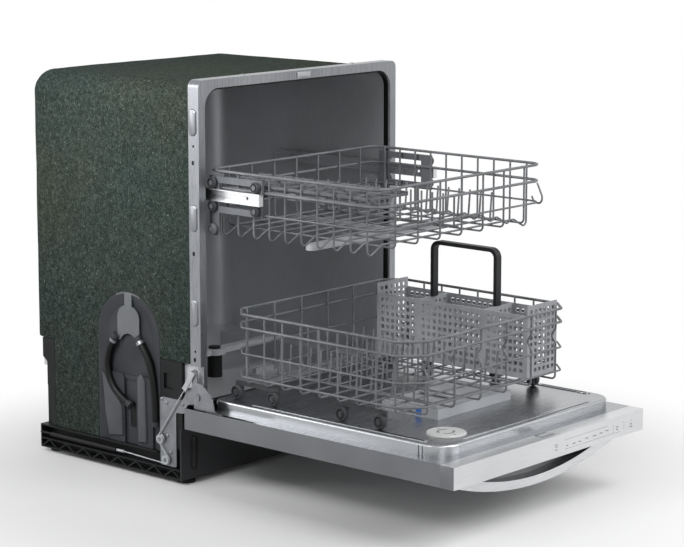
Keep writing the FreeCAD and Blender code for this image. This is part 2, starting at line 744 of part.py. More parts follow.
def make_toe_kick():
    """Flat sheet pieces round an upright slot near each end."""
    deep = (S.toe_setback, base_front)
    tall = (base_under, S.toe_top)
    inner, outer = slot_middle - S.toe_slot, slot_middle + S.toe_slot
    pieces = [block("toe_middle", (-inner, inner), deep, tall)]
    for side, sign in (("left", -1), ("right", 1)):
        across = sorted((sign * inner, sign * outer))
        pieces.append(block("toe_end_" + side, sorted((sign * outer, sign * frame_half)), deep, tall))
        pieces.append(block("toe_low_" + side, across, deep, (base_under, base_under + S.toe_slot_margin)))
        pieces.append(block("toe_high_" + side, across, deep, (S.toe_top - S.toe_slot_margin, S.toe_top)))
    node("toe_kick", pieces)


def make_supports():
    """Moulded corner pieces that show below the felt."""
    wide = (-felt_half, -tub_out - S.slide_gap)
    top = S.frame_skirt - 1
    front = block("support_front", wide, (base_front, felt_front_end), (base_floor + S.support_rise, top))
    window_back = felt_front_end - S.window_end
    window_top = S.frame_skirt - S.window_drop
    window = block("support_window", (-2 * felt_half, -tub_out - S.felt_thick / 2),
                   (window_back - S.window_width, window_back), (window_top - S.window_height, window_top))
    front = cut("support_front_cut", front, [window])
    edge = float(S.felt_back_end)
    foot, waist = edge + S.support_foot, edge + S.support_waist
    body, head = edge + S.support_body, edge + S.support_head
    waist_z, head_z = float(S.support_waist_height), float(S.support_head_height)
    low, high = float(base_top), float(S.felt_back_step) - 1
    bevel = float(S.support_waist)
    first = edge + 1
    outline = [(first, low), (foot, low), (foot, waist_z - bevel), (waist, waist_z), (body, waist_z + bevel),
               (body, head_z), (head, head_z + bevel), (head, high), (first, high)]
    back = side_face(-float(felt_half), outline, [0, 0, 4, 0, 4, 4, 4, 0, 0]).extrude(
        V(wide[1] - wide[0], 0, 0))
    pair("corner_supports", [front, solid("support_back", back)])


# Water inlet on the left side

# Points of the two inlet hoses, chosen by hand: back from the arch's middle, and height
BACK_HOSE = [(38, 279), (54, 255), (62, 226), (58, 196), (43, 172), (22, 157), (2, 147)]
FRONT_HOSE = [(-34, 281), (-51, 261), (-64, 238), (-72, 211), (-77, 182), (-79, 151), (-79, 120)]


def rounded_route(route):
    """A path of straight runs joined by arcs as large as the runs allow."""
    edges = []
    last = route[0]
    for index in range(1, len(route) - 1):
        here = route[index]
        into = here - route[index - 1]
        out = route[index + 1] - here
        turn = into.getAngle(out)
        reach = 0.45 * min(into.Length, out.Length)
        radius = reach / math.tan(turn / 2)
        print("hose bend radius %.1f" % radius)
        into.normalize()
        out.normalize()
        first = here - into * reach
        end = here + out * reach
        middle = here + (out - into).normalize() * (radius / math.cos(turn / 2) - radius)
        edges.append(Part.LineSegment(last, first).toShape())
        edges.append(Part.Arc(first, middle, end).toShape())
        last = end
    edges.append(Part.LineSegment(last, route[-1]).toShape())
    return Part.Wire(edges)


def pipe(path, radius):
    """A tube along a path of lines and arcs."""
    first = path.OrderedEdges[0]
    heading = first.tangentAt(first.FirstParameter)
    ring = Part.Wire(Part.makeCircle(radius, first.firstVertex().Point, heading))
    tube = path.makePipeShell([ring], True, False)
    section = math.pi * radius ** 2
    print("tube volume over section times length: %.4f" % (tube.Volume / (section * path.Length)))
    return tube


def arch_wire(half, low, x):
    """The outline of a round-topped opening in a plane square to X."""
    middle, spring = float(S.arch_middle), float(S.arch_spring)
    first, last = V(x, middle - half, low), V(x, middle + half, low)
    rise, fall = V(x, middle - half, spring), V(x, middle + half, spring)
    crown = Part.Arc(rise, V(x, middle, spring + half), fall).toShape()
    return Part.Wire([Part.makeLine(first, rise), crown, Part.makeLine(fall, last),
                      Part.makeLine(last, first)])


def duct_relief(face):
    """The raised chamber, ledge and legs in the duct's pocket."""
    middle, outside = float(S.arch_middle), -float(felt_half)
    depth = V(-outside - float(face), 0, 0)
    low = float(base_top + S.slide_gap)
    body, neck = float(S.duct_body), float(S.duct_neck)
    under, over = float(S.duct_body_low), float(S.duct_body_high)
    round_top = float(S.duct_shoulder)
    chamber = side_face(outside, [(middle - body, under), (middle + body, under), (middle + body, over),
                                  (middle - body, over)], [0, 0, round_top, round_top]).extrude(depth)
    bite = Part.makeCylinder(S.duct_bite, depth.x, V(outside, middle, under - S.duct_leg_corner), V(1, 0, 0))
    crown = float(S.arch_spring + S.arch_half - S.duct_rim)
    stem_low = over - round_top
    stem = Part.makeBox(depth.x, 2 * neck, crown - stem_low, V(outside, middle - neck, stem_low))
    ledge_low = float(S.duct_ledge - S.duct_ledge_height)
    front, back = middle - float(S.duct_leg_front), middle + float(S.duct_leg_back)
    wide, tip = float(S.duct_leg), float(S.duct_leg_corner)
    ledge = Part.makeBox(depth.x / 2, back - front + 2 * wide, S.duct_ledge_height,
                         V(outside + depth.x / 2, front - wide, ledge_low))
    pieces = [chamber.cut(bite), stem, ledge]
    leg_top = ledge_low + tip
    for first in (front - wide, back):
        last = first + wide
        outline = [(first, low), (last, low), (last, leg_top), (first, leg_top)]
        pieces.append(side_face(outside, outline, [0, 0, tip, tip]).extrude(depth))
    return pieces


def make_inlet():
    back = float(tub_out + S.slide_gap)
    face = back + float(S.duct_plate)
    outside = -float(felt_half)
    low = float(base_top + S.slide_gap)
    edge = float(S.arch_half) - 1
    housing = Part.Face(arch_wire(edge, low, outside)).extrude(V(-outside - back, 0, 0))
    mouth = arch_wire(edge - float(S.duct_rim), low - 1, outside)
    floor = arch_wire(edge - float(S.duct_flank), low - 1, -face)
    housing = housing.cut(Part.makeLoft([mouth, floor], True, True))
    hose_x = -(face + float(S.slide_gap + S.hose_radius))
    hose_radius, socket = float(S.hose_radius), float(S.hose_socket)
    hoses = []
    clamps = []
    sockets = []
    troughs = []
    limit = Part.makeBox(felt_half, S.cabinet_depth, S.frame_top, V(-face - S.running_gap, 0, 0))
    for index, points in enumerate((BACK_HOSE, FRONT_HOSE)):
        route = [V(hose_x, float(S.arch_middle) + y, z) for y, z in points]
        path = rounded_route(route)
        hoses.append(solid("hose_%d" % index, pipe(path, hose_radius)))
        troughs.append(pipe(path, hose_radius + float(S.slide_gap) / 2))
        for point, away in ((route[0], route[0] - route[1]), (route[-1], route[-1] - route[-2])):
            away = V(away).normalize()
            foot = point + away * (socket / 2)
            corner = V(hose_x, foot.y - socket / 4, foot.z - socket / 4)
            bridge = Part.makeBox(-face - hose_x + S.tub_sheet / 2, socket / 2, socket / 2, corner)
            sockets += [Part.makeCylinder(hose_radius, socket, point, away), bridge]
        heading = (route[1] - route[0]).normalize()
        start = route[0] + heading * (S.clamp_width / 4)
        ring = Part.makeCylinder(hose_radius + S.clamp_wall, S.clamp_width, start, heading)
        bore = Part.makeCylinder(hose_radius + S.running_gap, 2 * S.clamp_width, route[0], heading)
        room = Part.makeCylinder(hose_radius + S.clamp_wall + S.slide_gap, 2 * S.clamp_width,
                                 route[0], heading)
        clamps.append(solid("clamp_%d" % index, ring.cut(bore).cut(limit)))
        troughs.append(room.cut(limit))
    slot = Part.makeBox(felt_half, 2 * S.duct_slot, S.duct_slot_high - S.duct_slot_low,
                        V(outside - 1, S.arch_middle - S.duct_slot_front - S.duct_slot, S.duct_slot_low))
    body = housing.fuse(duct_relief(face)).cut(troughs + [slot]).fuse(sockets).removeSplitter()
    node("water_inlet_duct", [solid("inlet_duct", body)])
    node("inlet_hoses", hoses)
    node("hose_clamps", clamps)


# Sump, filter, pumps and valve under the tub

def make_sump():
    low = well_under - S.sump_height
    reach = S.filter_radius + S.sump_wall
    x, y = S.filter_side, S.filter_back
    body = block("sump_body", (x - reach, x + reach), (y - reach, y + reach), (low, well_under))
    bore = rod("sump_bore", "z", (x, y, low + S.filter_wall), S.filter_radius + S.slide_gap,
               2 * S.sump_height)
    post = rod("arm_post", "z", (0, spray_y, well_floor), 2 * S.arm_pivot,
               lower_arm_z - S.slide_gap - well_floor)
    over = lower_arm_z + S.arm_thick + S.slide_gap
    pin = rod("arm_pin", "z", (0, spray_y, well_floor), S.arm_pivot, over - well_floor)
    cap = rod("arm_cap_disc", "z", (0, spray_y, over), S.arm_cap, S.arm_cap_thick)
    node("sump", [cut("sump_cut", body, [bore]), join("arm_post_all", [post, pin, cap])])
    foot = low + S.filter_wall + S.slide_gap
    lid_z = well_floor + S.filter_wall
    cup = rod("filter_cup", "z", (x, y, foot), S.filter_radius, lid_z - foot)
    hollow = rod("filter_hollow", "z", (x, y, foot + S.filter_wall), S.filter_radius - S.filter_wall,
                 lid_z - foot - 2 * S.filter_wall)
    grip = block("filter_grip", (x - 0.7 * S.filter_radius, x + 0.7 * S.filter_radius),
                 (y - S.filter_wall, y + S.filter_wall), (lid_z - 1, lid_z + 5 * S.filter_wall))
    node("filter", [join("filter_all", [cut("filter_shell", cup, [hollow]), grip])])


def pump_parts(label, x, y, radius, length):
    """A motor pump that lies along X in its cradle on the base floor."""
    axis_z = base_floor + radius + 8
    motor = rod(label + "_motor", "x", (x, y, axis_z), radius, length)
    head = rod(label + "_head", "x", (x + length - 1, y, axis_z), 0.8 * radius, 0.3 * length)
    cradle = block(label + "_cradle", (x + 0.2 * length, x + 0.8 * length),
                   (y - 0.7 * radius, y + 0.7 * radius), (base_floor, axis_z))
    spout = rod(label + "_spout", "z", (x + 1.13 * length, y, axis_z), 0.25 * radius, 1.15 * radius)
    return [motor, head, cradle, spout]


def make_pumps():
    middle = tub_back / 2
    node("circulation_pump", [join("circulation_all", pump_parts(
        "circulation", -1.4 * S.pump_length, middle + S.pump_back, S.pump_radius, S.pump_length))])
    back = S.base_depth - S.drain_length
    parts = pump_parts("drain", drain_side - 0.5 * S.drain_length, back - S.drain_radius, S.drain_radius,
                       S.drain_length)
    spigot = rod("drain_spigot", "y", (drain_side, back - S.drain_radius, spigot_height), S.spigot_radius,
                 S.drain_length + S.drain_radius + S.spigot_length)
    collar_half = 1.4 * S.spigot_radius
    collar = block("drain_collar", (drain_side - collar_half, drain_side + collar_half),
                   (S.base_depth - S.base_wall - 2 * S.spigot_radius, S.base_depth - S.base_wall),
                   (spigot_height - collar_half, spigot_height + collar_half))
    node("drain_pump", [join("drain_all", parts + [spigot, collar])])
    y0 = S.base_depth - S.base_wall - 57
    body = block("valve_body", (inlet_side - 25, inlet_side + 25), (y0, S.base_depth - S.base_wall),
                 (base_floor, base_top - 6))
    inlet = rod("valve_inlet", "y", (inlet_side, y0 + 20, spigot_height), S.spigot_radius,
                S.base_depth + S.spigot_length - y0 - 20)
    outlet = rod("valve_outlet", "z", (inlet_side, y0 + 20, base_top - 7), 8, 40)
    node("inlet_valve", [join("valve_all", [body, inlet, outlet])])


# Conduit, ceiling sprayer and vent inside the tub

VENT_SLOT_COUNT = 7


def make_tub_fittings():
    half = S.conduit_width / 2
    riser = block("conduit_riser", (-half, half), (tub_back - S.conduit_depth, tub_back),
                  (S.tub_floor, S.conduit_top))
    head_z = tub_top - 0.75 * S.sprayer_radius
    head = rod("sprayer_head", "z", (0, spray_y, head_z), S.sprayer_radius, 0.5 * S.sprayer_radius)
    stem = rod("sprayer_stem", "z", (0, spray_y, head_z), 0.4 * S.sprayer_radius, tub_top - head_z)
    node("water_conduit", [riser, join("sprayer", [head, stem])])
    wall = (-tub_half, -tub_half + S.vent_thick)
    y = S.vent_middle
    parts = [block("vent_plate", wall, (y - S.vent_radius, y + S.vent_radius), (S.vent_low, S.vent_high)),
             rod("vent_low_end", "x", (wall[0], y, S.vent_low), S.vent_radius, S.vent_thick),
             rod("vent_high_end", "x", (wall[0], y, S.vent_high), S.vent_radius, S.vent_thick)]
    pitch = (S.vent_high - S.vent_low) / VENT_SLOT_COUNT
    gaps = []
    for index in range(VENT_SLOT_COUNT):
        low = S.vent_low + pitch * (index + 0.25)
        gaps.append(block("vent_gap_%d" % index, (wall[0] + S.tub_sheet, wall[1] + 1),
                          (y - 0.7 * S.vent_radius, y + 0.7 * S.vent_radius), (low, low + 0.5 * pitch)))
    node("side_vent", [cut("vent_cut", join("vent_all", parts), gaps)])


# Hinges, cords and springs

PULLEY_UP = (118.5, 88)
PULLEY_LOW = (103, 47)
CORD_HOOK = (21, 240)
CORD_END = (47, 201)
SPRING_FRONT = (226, 43)
SPRING_BACK = (448, 47)
HOOK_LENGTH = 22


def make_hinge_plates():
    """Fixed plates with the hinge pins and the pulley pins riveted in."""
    y0, z0 = float(S.hinge_y), float(S.hinge_z)
    low = float(base_under + S.base_ledge + S.base_wall) + 3
    back = PULLEY_UP[0] + 4
    front = back - 46
    outline = [(back, low), (back, z0 - 14), (58, z0 - 14), (40, z0 + 16), (y0 - 12, z0 + 16),
               (y0 - 16, z0 - 12), (y0 + 32, z0 - 20), (52, z0 - 40), (front, z0 - 42), (front, low)]
    radii = [4, 10, 14, 8, 10, 8, 12, 8, 4, 4]
    plate = solid("hinge_sheet", side_face(-plate_out, outline, radii).extrude(V(S.hinge_plate, 0, 0)))
    head_x = -arm_out - S.slide_gap
    parts = [plate,
             rod("hinge_shank", "x", (head_x, y0, z0), S.hinge_pin, -head_x - plate_in),
             rod("hinge_head", "x", (head_x - S.hinge_plate, y0, z0), 1.8 * S.hinge_pin, S.hinge_plate)]
    inner = cord_x - S.pulley_width / 2 - S.slide_gap
    outer = cord_x + S.pulley_width / 2 + S.slide_gap
    for index, (y, z) in enumerate((PULLEY_UP, PULLEY_LOW)):
        parts.append(rod("pulley_shank_%d" % index, "x", (-outer, y, z), S.pulley_pin, outer - plate_in))
        parts.append(rod("pulley_collar_%d" % index, "x", (-inner, y, z), 2 * S.pulley_pin,
                         inner - plate_out))
        parts.append(rod("pulley_head_%d" % index, "x", (-outer - 1, y, z), 1.7 * S.pulley_pin, 1))
    pair("hinge_plates", [join("hinge_plate_left", parts)])


def make_hinge_arms():
    y0, z0 = float(S.hinge_y), float(S.hinge_z)
    reach = float(S.hinge_sector)
    y1, z1 = y0 + 10, float(door_top)
    thick = V(S.hinge_arm, 0, 0)
    at = lambda y, z: V(-arm_out, y, z)
    slope = reach * math.sqrt(0.5)
    edges = [Part.Arc(at(y1 - reach, z1), at(y1 - slope, z1 + slope), at(y1, z1 + reach)).toShape(),
             Part.makeLine(at(y1, z1 + reach), at(y1, z1)), Part.makeLine(at(y1, z1), at(y1 - reach, z1))]
    sector = Part.Face(Part.Wire(edges)).extrude(thick)
    hook = CORD_HOOK[1] + 6
    lever = side_face(-arm_out, [(13, z0), (27, z0), (27, hook), (13, hook)], [0, 0, 6, 6]).extrude(thick)
    low = float(S.door_under + S.door_skin) + 5
    end = -float(S.hinge_tail)
    tail = side_face(-arm_out, [(end, low), (-18, low), (-10, z1 + 12), (-60, z1 - 4), (end, z1)],
                     [4, 4, 4, 20, 4]).extrude(thick)
    hole = Part.makeCylinder(S.hinge_pin + S.running_gap, 20, at(y0, z0) - V(5, 0, 0), V(1, 0, 0))
    pair("hinge_arms", [solid("hinge_arm_left", sector.fuse([lever, tail]).removeSplitter().cut(hole))])


def tangent_point(circle, radius, outside, side):
    """Where a line from an outside point touches a circle, on its left (1) or right (-1) side."""
    dy = outside[0] - circle[0]
    dz = outside[1] - circle[1]
    angle = math.atan2(dz, dy) + side * math.acos(radius / math.hypot(dy, dz))
    return (circle[0] + radius * math.cos(angle), circle[1] + radius * math.sin(angle))


def crossing_points(first, second, radius):
    """Ends of the line that crosses from the back of one circle to the front of an equal one."""
    dy = second[0] - first[0]
    dz = second[1] - first[1]
    angle = math.atan2(dz, dy) + math.acos(2 * radius / math.hypot(dy, dz))
    reach = (radius * math.cos(angle), radius * math.sin(angle))
    return (first[0] + reach[0], first[1] + reach[1]), (second[0] - reach[0], second[1] - reach[1])


def half_way(circle, radius, first, last):
    """Point half way round a pulley between two touching points."""
    dy = (first[0] + last[0]) / 2 - circle[0]
    dz = (first[1] + last[1]) / 2 - circle[1]
    size = math.hypot(dy, dz)
    return (circle[0] + radius * dy / size, circle[1] + radius * dz / size)


def make_cords():
    radius = float(S.pulley_groove + S.cord_wire + S.running_gap)
    at = lambda point: V(-cord_x, point[0], point[1])
    touch_up = tangent_point(PULLEY_UP, radius, CORD_END, -1)
    leave_up, touch_low = crossing_points(PULLEY_UP, PULLEY_LOW, radius)
    leave_low = tangent_point(PULLEY_LOW, radius, SPRING_FRONT, -1)
    back_of_up = half_way(PULLEY_UP, radius, touch_up, leave_up)
    front_of_low = half_way(PULLEY_LOW, radius, touch_low, leave_low)
    edges = [Part.LineSegment(at(CORD_END), at(touch_up)).toShape(),
             Part.Arc(at(touch_up), at(back_of_up), at(leave_up)).toShape(),
             Part.LineSegment(at(leave_up), at(touch_low)).toShape(),
             Part.Arc(at(touch_low), at(front_of_low), at(leave_low)).toShape(),
             Part.LineSegment(at(leave_low), at(SPRING_FRONT)).toShape()]
    cord = solid("cord_left", pipe(Part.Wire(edges), float(S.cord_wire)))
    lean = V(0, CORD_HOOK[0] - CORD_END[0], CORD_HOOK[1] - CORD_END[1])
    wide, thick = float(S.sleeve_width), float(S.sleeve_thick)
    sleeve = Part.makeBox(thick, wide, lean.Length, V(-thick / 2, -wide / 2, 0))
    long_edges = [edge for edge in sleeve.Edges if edge.BoundBox.ZLength > lean.Length / 2]
    sleeve = sleeve.makeFillet(0.4 * thick, long_edges)
    sleeve.rotate(V(0, 0, 0), V(1, 0, 0), -math.degrees(math.atan2(lean.y, lean.z)))
    sleeve.translate(V(-arm_out - S.slide_gap - thick / 2, CORD_END[0], CORD_END[1]))
    front = at(SPRING_FRONT)
    start = front + V(0, HOOK_LENGTH, 0)
    end = at(SPRING_BACK)
    wall_y = float(S.base_depth - S.base_wall)
    ferrule = solid("ferrule_left", straight(front, start, float(S.spring_hook)))
    pair("door_cords", [cord, solid("sleeve_left", sleeve), ferrule])
    tail = straight(end, V(end.x, wall_y, end.z), float(S.spring_hook))
    spring = straight(start, V(end.x, end.y, start.z), float(S.spring_radius))
    tail.translate(V(0, 0, start.z - end.z))
    pair("door_springs", [solid("spring_left", spring), solid("spring_tail_left", tail)])


def make_pulleys():
    rim, groove = float(S.pulley_radius), float(S.pulley_groove)
    bore = float(S.pulley_pin + S.running_gap)
    width = float(S.pulley_width)
    for label, (y, z) in (("upper_pulleys", PULLEY_UP), ("lower_pulleys", PULLEY_LOW)):
        profile = [V(0, bore, 0), V(0, rim, 0), V(0.15 * width, rim, 0), V(0.28 * width, groove, 0),
                   V(0.72 * width, groove, 0), V(0.85 * width, rim, 0), V(width, rim, 0), V(width, bore, 0)]
        wheel = Part.Face(Part.makePolygon(profile + profile[:1])).revolve(V(0, 0, 0), V(1, 0, 0), 360)
        wheel.translate(V(-cord_x - width / 2, y, z))
        pair(label, [solid(label + "_left", wheel)])


# Door

def make_outer_panel():
    skin = S.door_skin
    inner_half = door_half - skin
    outer = block("panel_outer", (-door_half, door_half), (fascia_back, S.door_tail),
                  (S.door_under, door_top))
    inner = block("panel_inner", (-inner_half, inner_half), (fascia_back - 1, S.door_tail - skin),
                  (S.door_under + skin, door_top + 1))
    node("door_outer_panel", [cut("panel_cut", outer, [inner])])
    low = S.door_under + skin
    pad_half = plate_in - S.felt_thick
    pad = block("door_pad", (-pad_half, pad_half), (fascia_back + S.liner_setback, -S.liner_start),
                (low, low + S.pad_thick))
    node("door_insulation", [pad])


def liner_block(inset, low, high):
    """The raised part of the liner, or the hollow under it."""
    half = float(liner_half - inset)
    front = float(fascia_back + S.liner_setback + inset)
    back = -float(S.liner_start + inset)
    corner = float(S.liner_corner - inset)
    small = float(S.liner_corner / 3 - inset)
    outline = [V(-half, back, low), V(-half, front, low), V(half, front, low), V(half, back, low)]
    shape = rounded_face(outline, [small, corner, corner, small]).extrude(V(0, 0, high - low))
    edges = [edge for edge in shape.Edges if edge.BoundBox.ZMin > high - 0.01]
    return shape.makeFillet(float(S.liner_edge - inset), edges)


def make_liner():
    skin = S.door_skin
    gap = S.slide_gap
    plate = (door_top - skin, door_top)
    inner_half = plate_in - 2 * gap
    panel_half = door_half - skin
    flange = [block("liner_flange", (-inner_half, inner_half), (fascia_back, S.liner_back), plate),
              block("liner_strips", (-arm_in, arm_in), (fascia_back, -S.hinge_room), plate),
              block("liner_wings", (-panel_half, panel_half), (fascia_back, -S.hinge_tail - gap), plate)]
    raised = solid("liner_raised", liner_block(0, door_top - skin, liner_top))
    hollow = solid("liner_hollow", liner_block(skin, door_top - 2 * skin, liner_top - skin))
    window = block("liner_window", (dispenser_left - gap, -dispenser_left + gap),
                   (-S.dispenser_front - gap, dispenser_back + gap), (door_top, liner_top + 1))
    hole = rod("liner_cap_hole", "z", (-S.cap_side, -S.cap_front, door_top), S.cap_stem + gap,
               S.liner_rise + 1)
    whole = join("liner_all", flange + [raised])
    node("door_inner_liner", [cut("liner_cut", whole, [hollow, window, hole])])
    seal = block("seal", (-liner_half, liner_half), (-S.liner_start + gap, S.liner_back),
                 (door_top, door_top + S.seal_height))
    node("door_bottom_seal", [seal])


def make_fascia():
    wall = S.fascia_wall
    front = -S.door_reach
    latch_half = S.latch_width / 2
    latch_y = fascia_back - S.latch_depth + 1
    latch_z = door_top - S.latch_drop
    shell = block("fascia_outer", (-door_half, door_half), (front, fascia_back), (S.door_under, door_top))
    hollow = block("fascia_inner", (-door_half + wall, door_half - wall), (front + wall, fascia_back + 1),
                   (S.door_under + wall, door_top - wall))
    swing = 0.9 * S.latch_depth
    slot = block("fascia_slot", (-latch_half - 1, latch_half + 1), (latch_y - swing, latch_y + swing),
                 (door_top - 2 * wall, door_top + 1))
    sheath = cut("fascia_cut", shell, [hollow, slot])
    pivot = rod("latch_rod", "x", (-latch_half - 6, latch_y, latch_z), S.latch_pin, S.latch_width + 12)
    parts = [sheath, pivot]
    for side, sign in (("left", -1), ("right", 1)):
        ear = sorted((sign * (latch_half + 2), sign * (latch_half + 6)))
        parts.append(block("latch_ear_" + side, ear, (latch_y - 4, latch_y + 4),
                           (latch_z - 4, door_top - wall)))
    node("control_fascia", [join("fascia_all", parts)])
    board = block("board", (-0.2 * S.board_width, 0.8 * S.board_width),
                  (front + wall, front + wall + S.board_thick), (S.door_under + 6, door_top - S.latch_drop))
    node("control_board", [board])
    half_depth = S.latch_depth / 2
    lever = block("latch_lever", (-latch_half, latch_half), (latch_y - half_depth, latch_y + half_depth),
                  (latch_z - 4, door_top + 1))
    bore = rod("latch_bore", "x", (-latch_half - 1, latch_y, latch_z), S.latch_pin + S.running_gap,
               S.latch_width + 2)
    node("door_latch", [cut("latch_cut", lever, [bore])])


def make_handle():
    """A crescent that bows away from the outer panel, with a finger gap behind it."""
    half = float(S.handle_span / 2)
    grip = float(S.handle_grip / 2)
    drop = float(S.handle_drop)
    gap = drop - float(S.handle_thick)
    y, z = float(fascia_back) + 2, float(S.door_under)
    outer = Part.Arc(V(-half, y, z), V(0, y, z - drop), V(half, y, z)).toShape()
    inner = Part.Arc(V(grip, y, z), V(0, y, z - gap), V(-grip, y, z)).toShape()
    right = Part.makeLine(V(half, y, z), V(grip, y, z))
    left = Part.makeLine(V(-grip, y, z), V(-half, y, z))
    bow = Part.Face(Part.Wire([outer, right, inner, left])).extrude(V(0, S.handle_depth, 0))
    node("bow_handle", [solid("handle_bow", bow)])


def make_dispenser():
    x0, x1 = dispenser_left, -dispenser_left
    y0, y1 = -S.dispenser_front, dispenser_back
    wall = S.dispenser_wall
    top = liner_top + S.dispenser_rise
    cup_end = x0 + wall + S.cup_width
    housing = block("dispenser_housing", (x0, x1), (y0, y1), (dispenser_low, top))
    cup = block("dispenser_cup", (x0 + wall, cup_end), (y0 + wall, y1 - wall),
                (dispenser_low + wall, top + 1))
    thin = S.fascia_wall
    works = block("dispenser_works", (cup_end + wall, x1 - thin), (y0 + thin, y1 - thin),
                  (dispenser_low - 1, top - thin))
    tank = block("rinse_tank", (-S.cap_side - S.cap_radius, x0 + 1),
                 (-S.cap_front - S.cap_radius, y1 - wall), (dispenser_low, dispenser_low + wall / 2))
    node("dispenser_body", [join("dispenser_all", [cut("dispenser_cut", housing, [cup, works]), tank])])
    lid_z = top + S.slide_gap
    lap = S.lid_overlap
    lid = block("lid_plate", (x0 + wall - lap, cup_end + lap), (y0 + wall - lap, y1 - wall + lap),
                (lid_z, lid_z + S.lid_thick))
    rib = block("lid_rib", (cup_end - lap, cup_end), (y0 + 3 * wall, y1 - 3 * wall),
                (lid_z + S.lid_thick / 2, lid_z + 1.6 * S.lid_thick))
    node("detergent_lid", [join("lid_all", [lid, rib])])
    stem_z = dispenser_low + wall / 2 + S.slide_gap
    cap_z = liner_top + S.slide_gap
    stem = rod("cap_stem_rod", "z", (-S.cap_side, -S.cap_front, stem_z), S.cap_stem, cap_z - stem_z)
    hollow = rod("cap_hollow", "z", (-S.cap_side, -S.cap_front, stem_z - 1), S.cap_stem - S.fascia_wall,
                 cap_z - stem_z)
    disc = rod("cap_disc", "z", (-S.cap_side, -S.cap_front, cap_z), S.cap_radius, S.cap_thick)
    grip = block("cap_grip", (-S.cap_side - 0.6 * S.cap_radius, -S.cap_side + 0.6 * S.cap_radius),
                 (-S.cap_front - 3, -S.cap_front + 3), (cap_z + S.cap_thick / 2, cap_z + 1.4 * S.cap_thick))
    node("rinse_aid_cap", [join("cap_all", [cut("cap_stem_shell", stem, [hollow]), disc, grip])])


# Lower rack

LOWER_RIM_DROPS = (0, 27, 79, 126)
LOWER_SIDE_WIRE_COUNT = 9
LOWER_END_WIRE_COUNT = 6
WHEEL_STATIONS = (46, 144, 324, 420)
RIM_BEND = 14


def lower_rim_points(z):
    """A rim of the lower rack with its cut corners."""
    half, cut_off = float(S.lower_width / 2), float(S.lower_chamfer)
    front, back = -float(S.lower_front), float(lower_back)
    return [V(-half, back - cut_off, z), V(-half, front + cut_off, z), V(-half + cut_off, front, z),
            V(half - cut_off, front, z), V(half, front + cut_off, z), V(half, back - cut_off, z),
            V(half - cut_off, back, z), V(-half + cut_off, back, z)]


def rims(points_at, top, drops, bend):
    """Closed rims at several drops below the top one, the first two of thick wire."""
    pieces = []
    for index, drop in enumerate(drops):
        radius = S.rim_wire if index < 2 else S.rack_wire
        pieces += bent_wire(points_at(float(top) - drop), float(radius), bend, closed=True)
    return Part.Compound(pieces)


def tine_row(x, y0, y1, foot, height, lean):
    """A row of upright tines on a foot wire along Y."""
    wire = float(S.rack_wire)
    pieces = [straight(V(x, y0, foot), V(x, y1, foot), wire)]
    margin = 10
    count = int((y1 - y0 - 2 * margin) / float(S.tine_pitch)) + 1
    for y in spread(y0 + margin, y1 - margin, count):
        start = V(x, y, foot + wire + float(S.wire_gap))
        pieces.append(straight(start, start + V(lean, 0, float(height)), wire))
    return pieces


def make_lower_rack():
    rim, wire, gap = float(S.rim_wire), float(S.rack_wire), float(S.wire_gap)
    bend, cut_off = float(S.rack_bend), float(S.lower_chamfer)
    half, top, floor = float(S.lower_width / 2), float(S.lower_rim), float(S.lower_floor)
    front, back = -float(S.lower_front), float(lower_back)
    node("lower_rack_rims", [solid("lower_rims", rims(lower_rim_points, top, LOWER_RIM_DROPS, RIM_BEND))])
    tuck = rim + gap + wire
    inner = half - tuck
    crosswise = []
    for y in spread(back - cut_off - 8, front + cut_off + 8, LOWER_SIDE_WIRE_COUNT):
        path = [V(-inner, y, top), V(-inner, y, floor), V(inner, y, floor), V(inner, y, top)]
        crosswise += bent_wire(path, wire, bend)
    lengthwise = []
    under = floor - 2 * wire - gap
    kink = [(0, 40), (11, 54), (0, 70)]
    for x in spread(-half + cut_off + 12, half - cut_off - 12, LOWER_END_WIRE_COUNT):
        path = [V(x, front + tuck, top)]
        path += [V(x, front + tuck + push, top - drop) for push, drop in kink]
        path += [V(x, front + tuck, under), V(x, back - tuck, under), V(x, back - tuck, top)]
        lengthwise += bent_wire(path, wire, bend)
    foot = floor + 2 * wire + gap
    tines = []
    end = float(S.tine_end)
    for x in (-0.62 * half, 0.26 * half):
        tines += tine_row(x, front + end, back - end, foot, S.lower_tine, 6)
    node("lower_rack_wires", [solid("lower_wires", Part.Compound(crosswise + lengthwise + tines))])
    folding = tine_row(-0.28 * half, front + float(S.fold_tine_end), back - end,
                       foot + float(S.slide_gap), S.lower_fold_tine, 0)
    node("lower_fold_tines", [solid("lower_folding", Part.Compound(folding))])


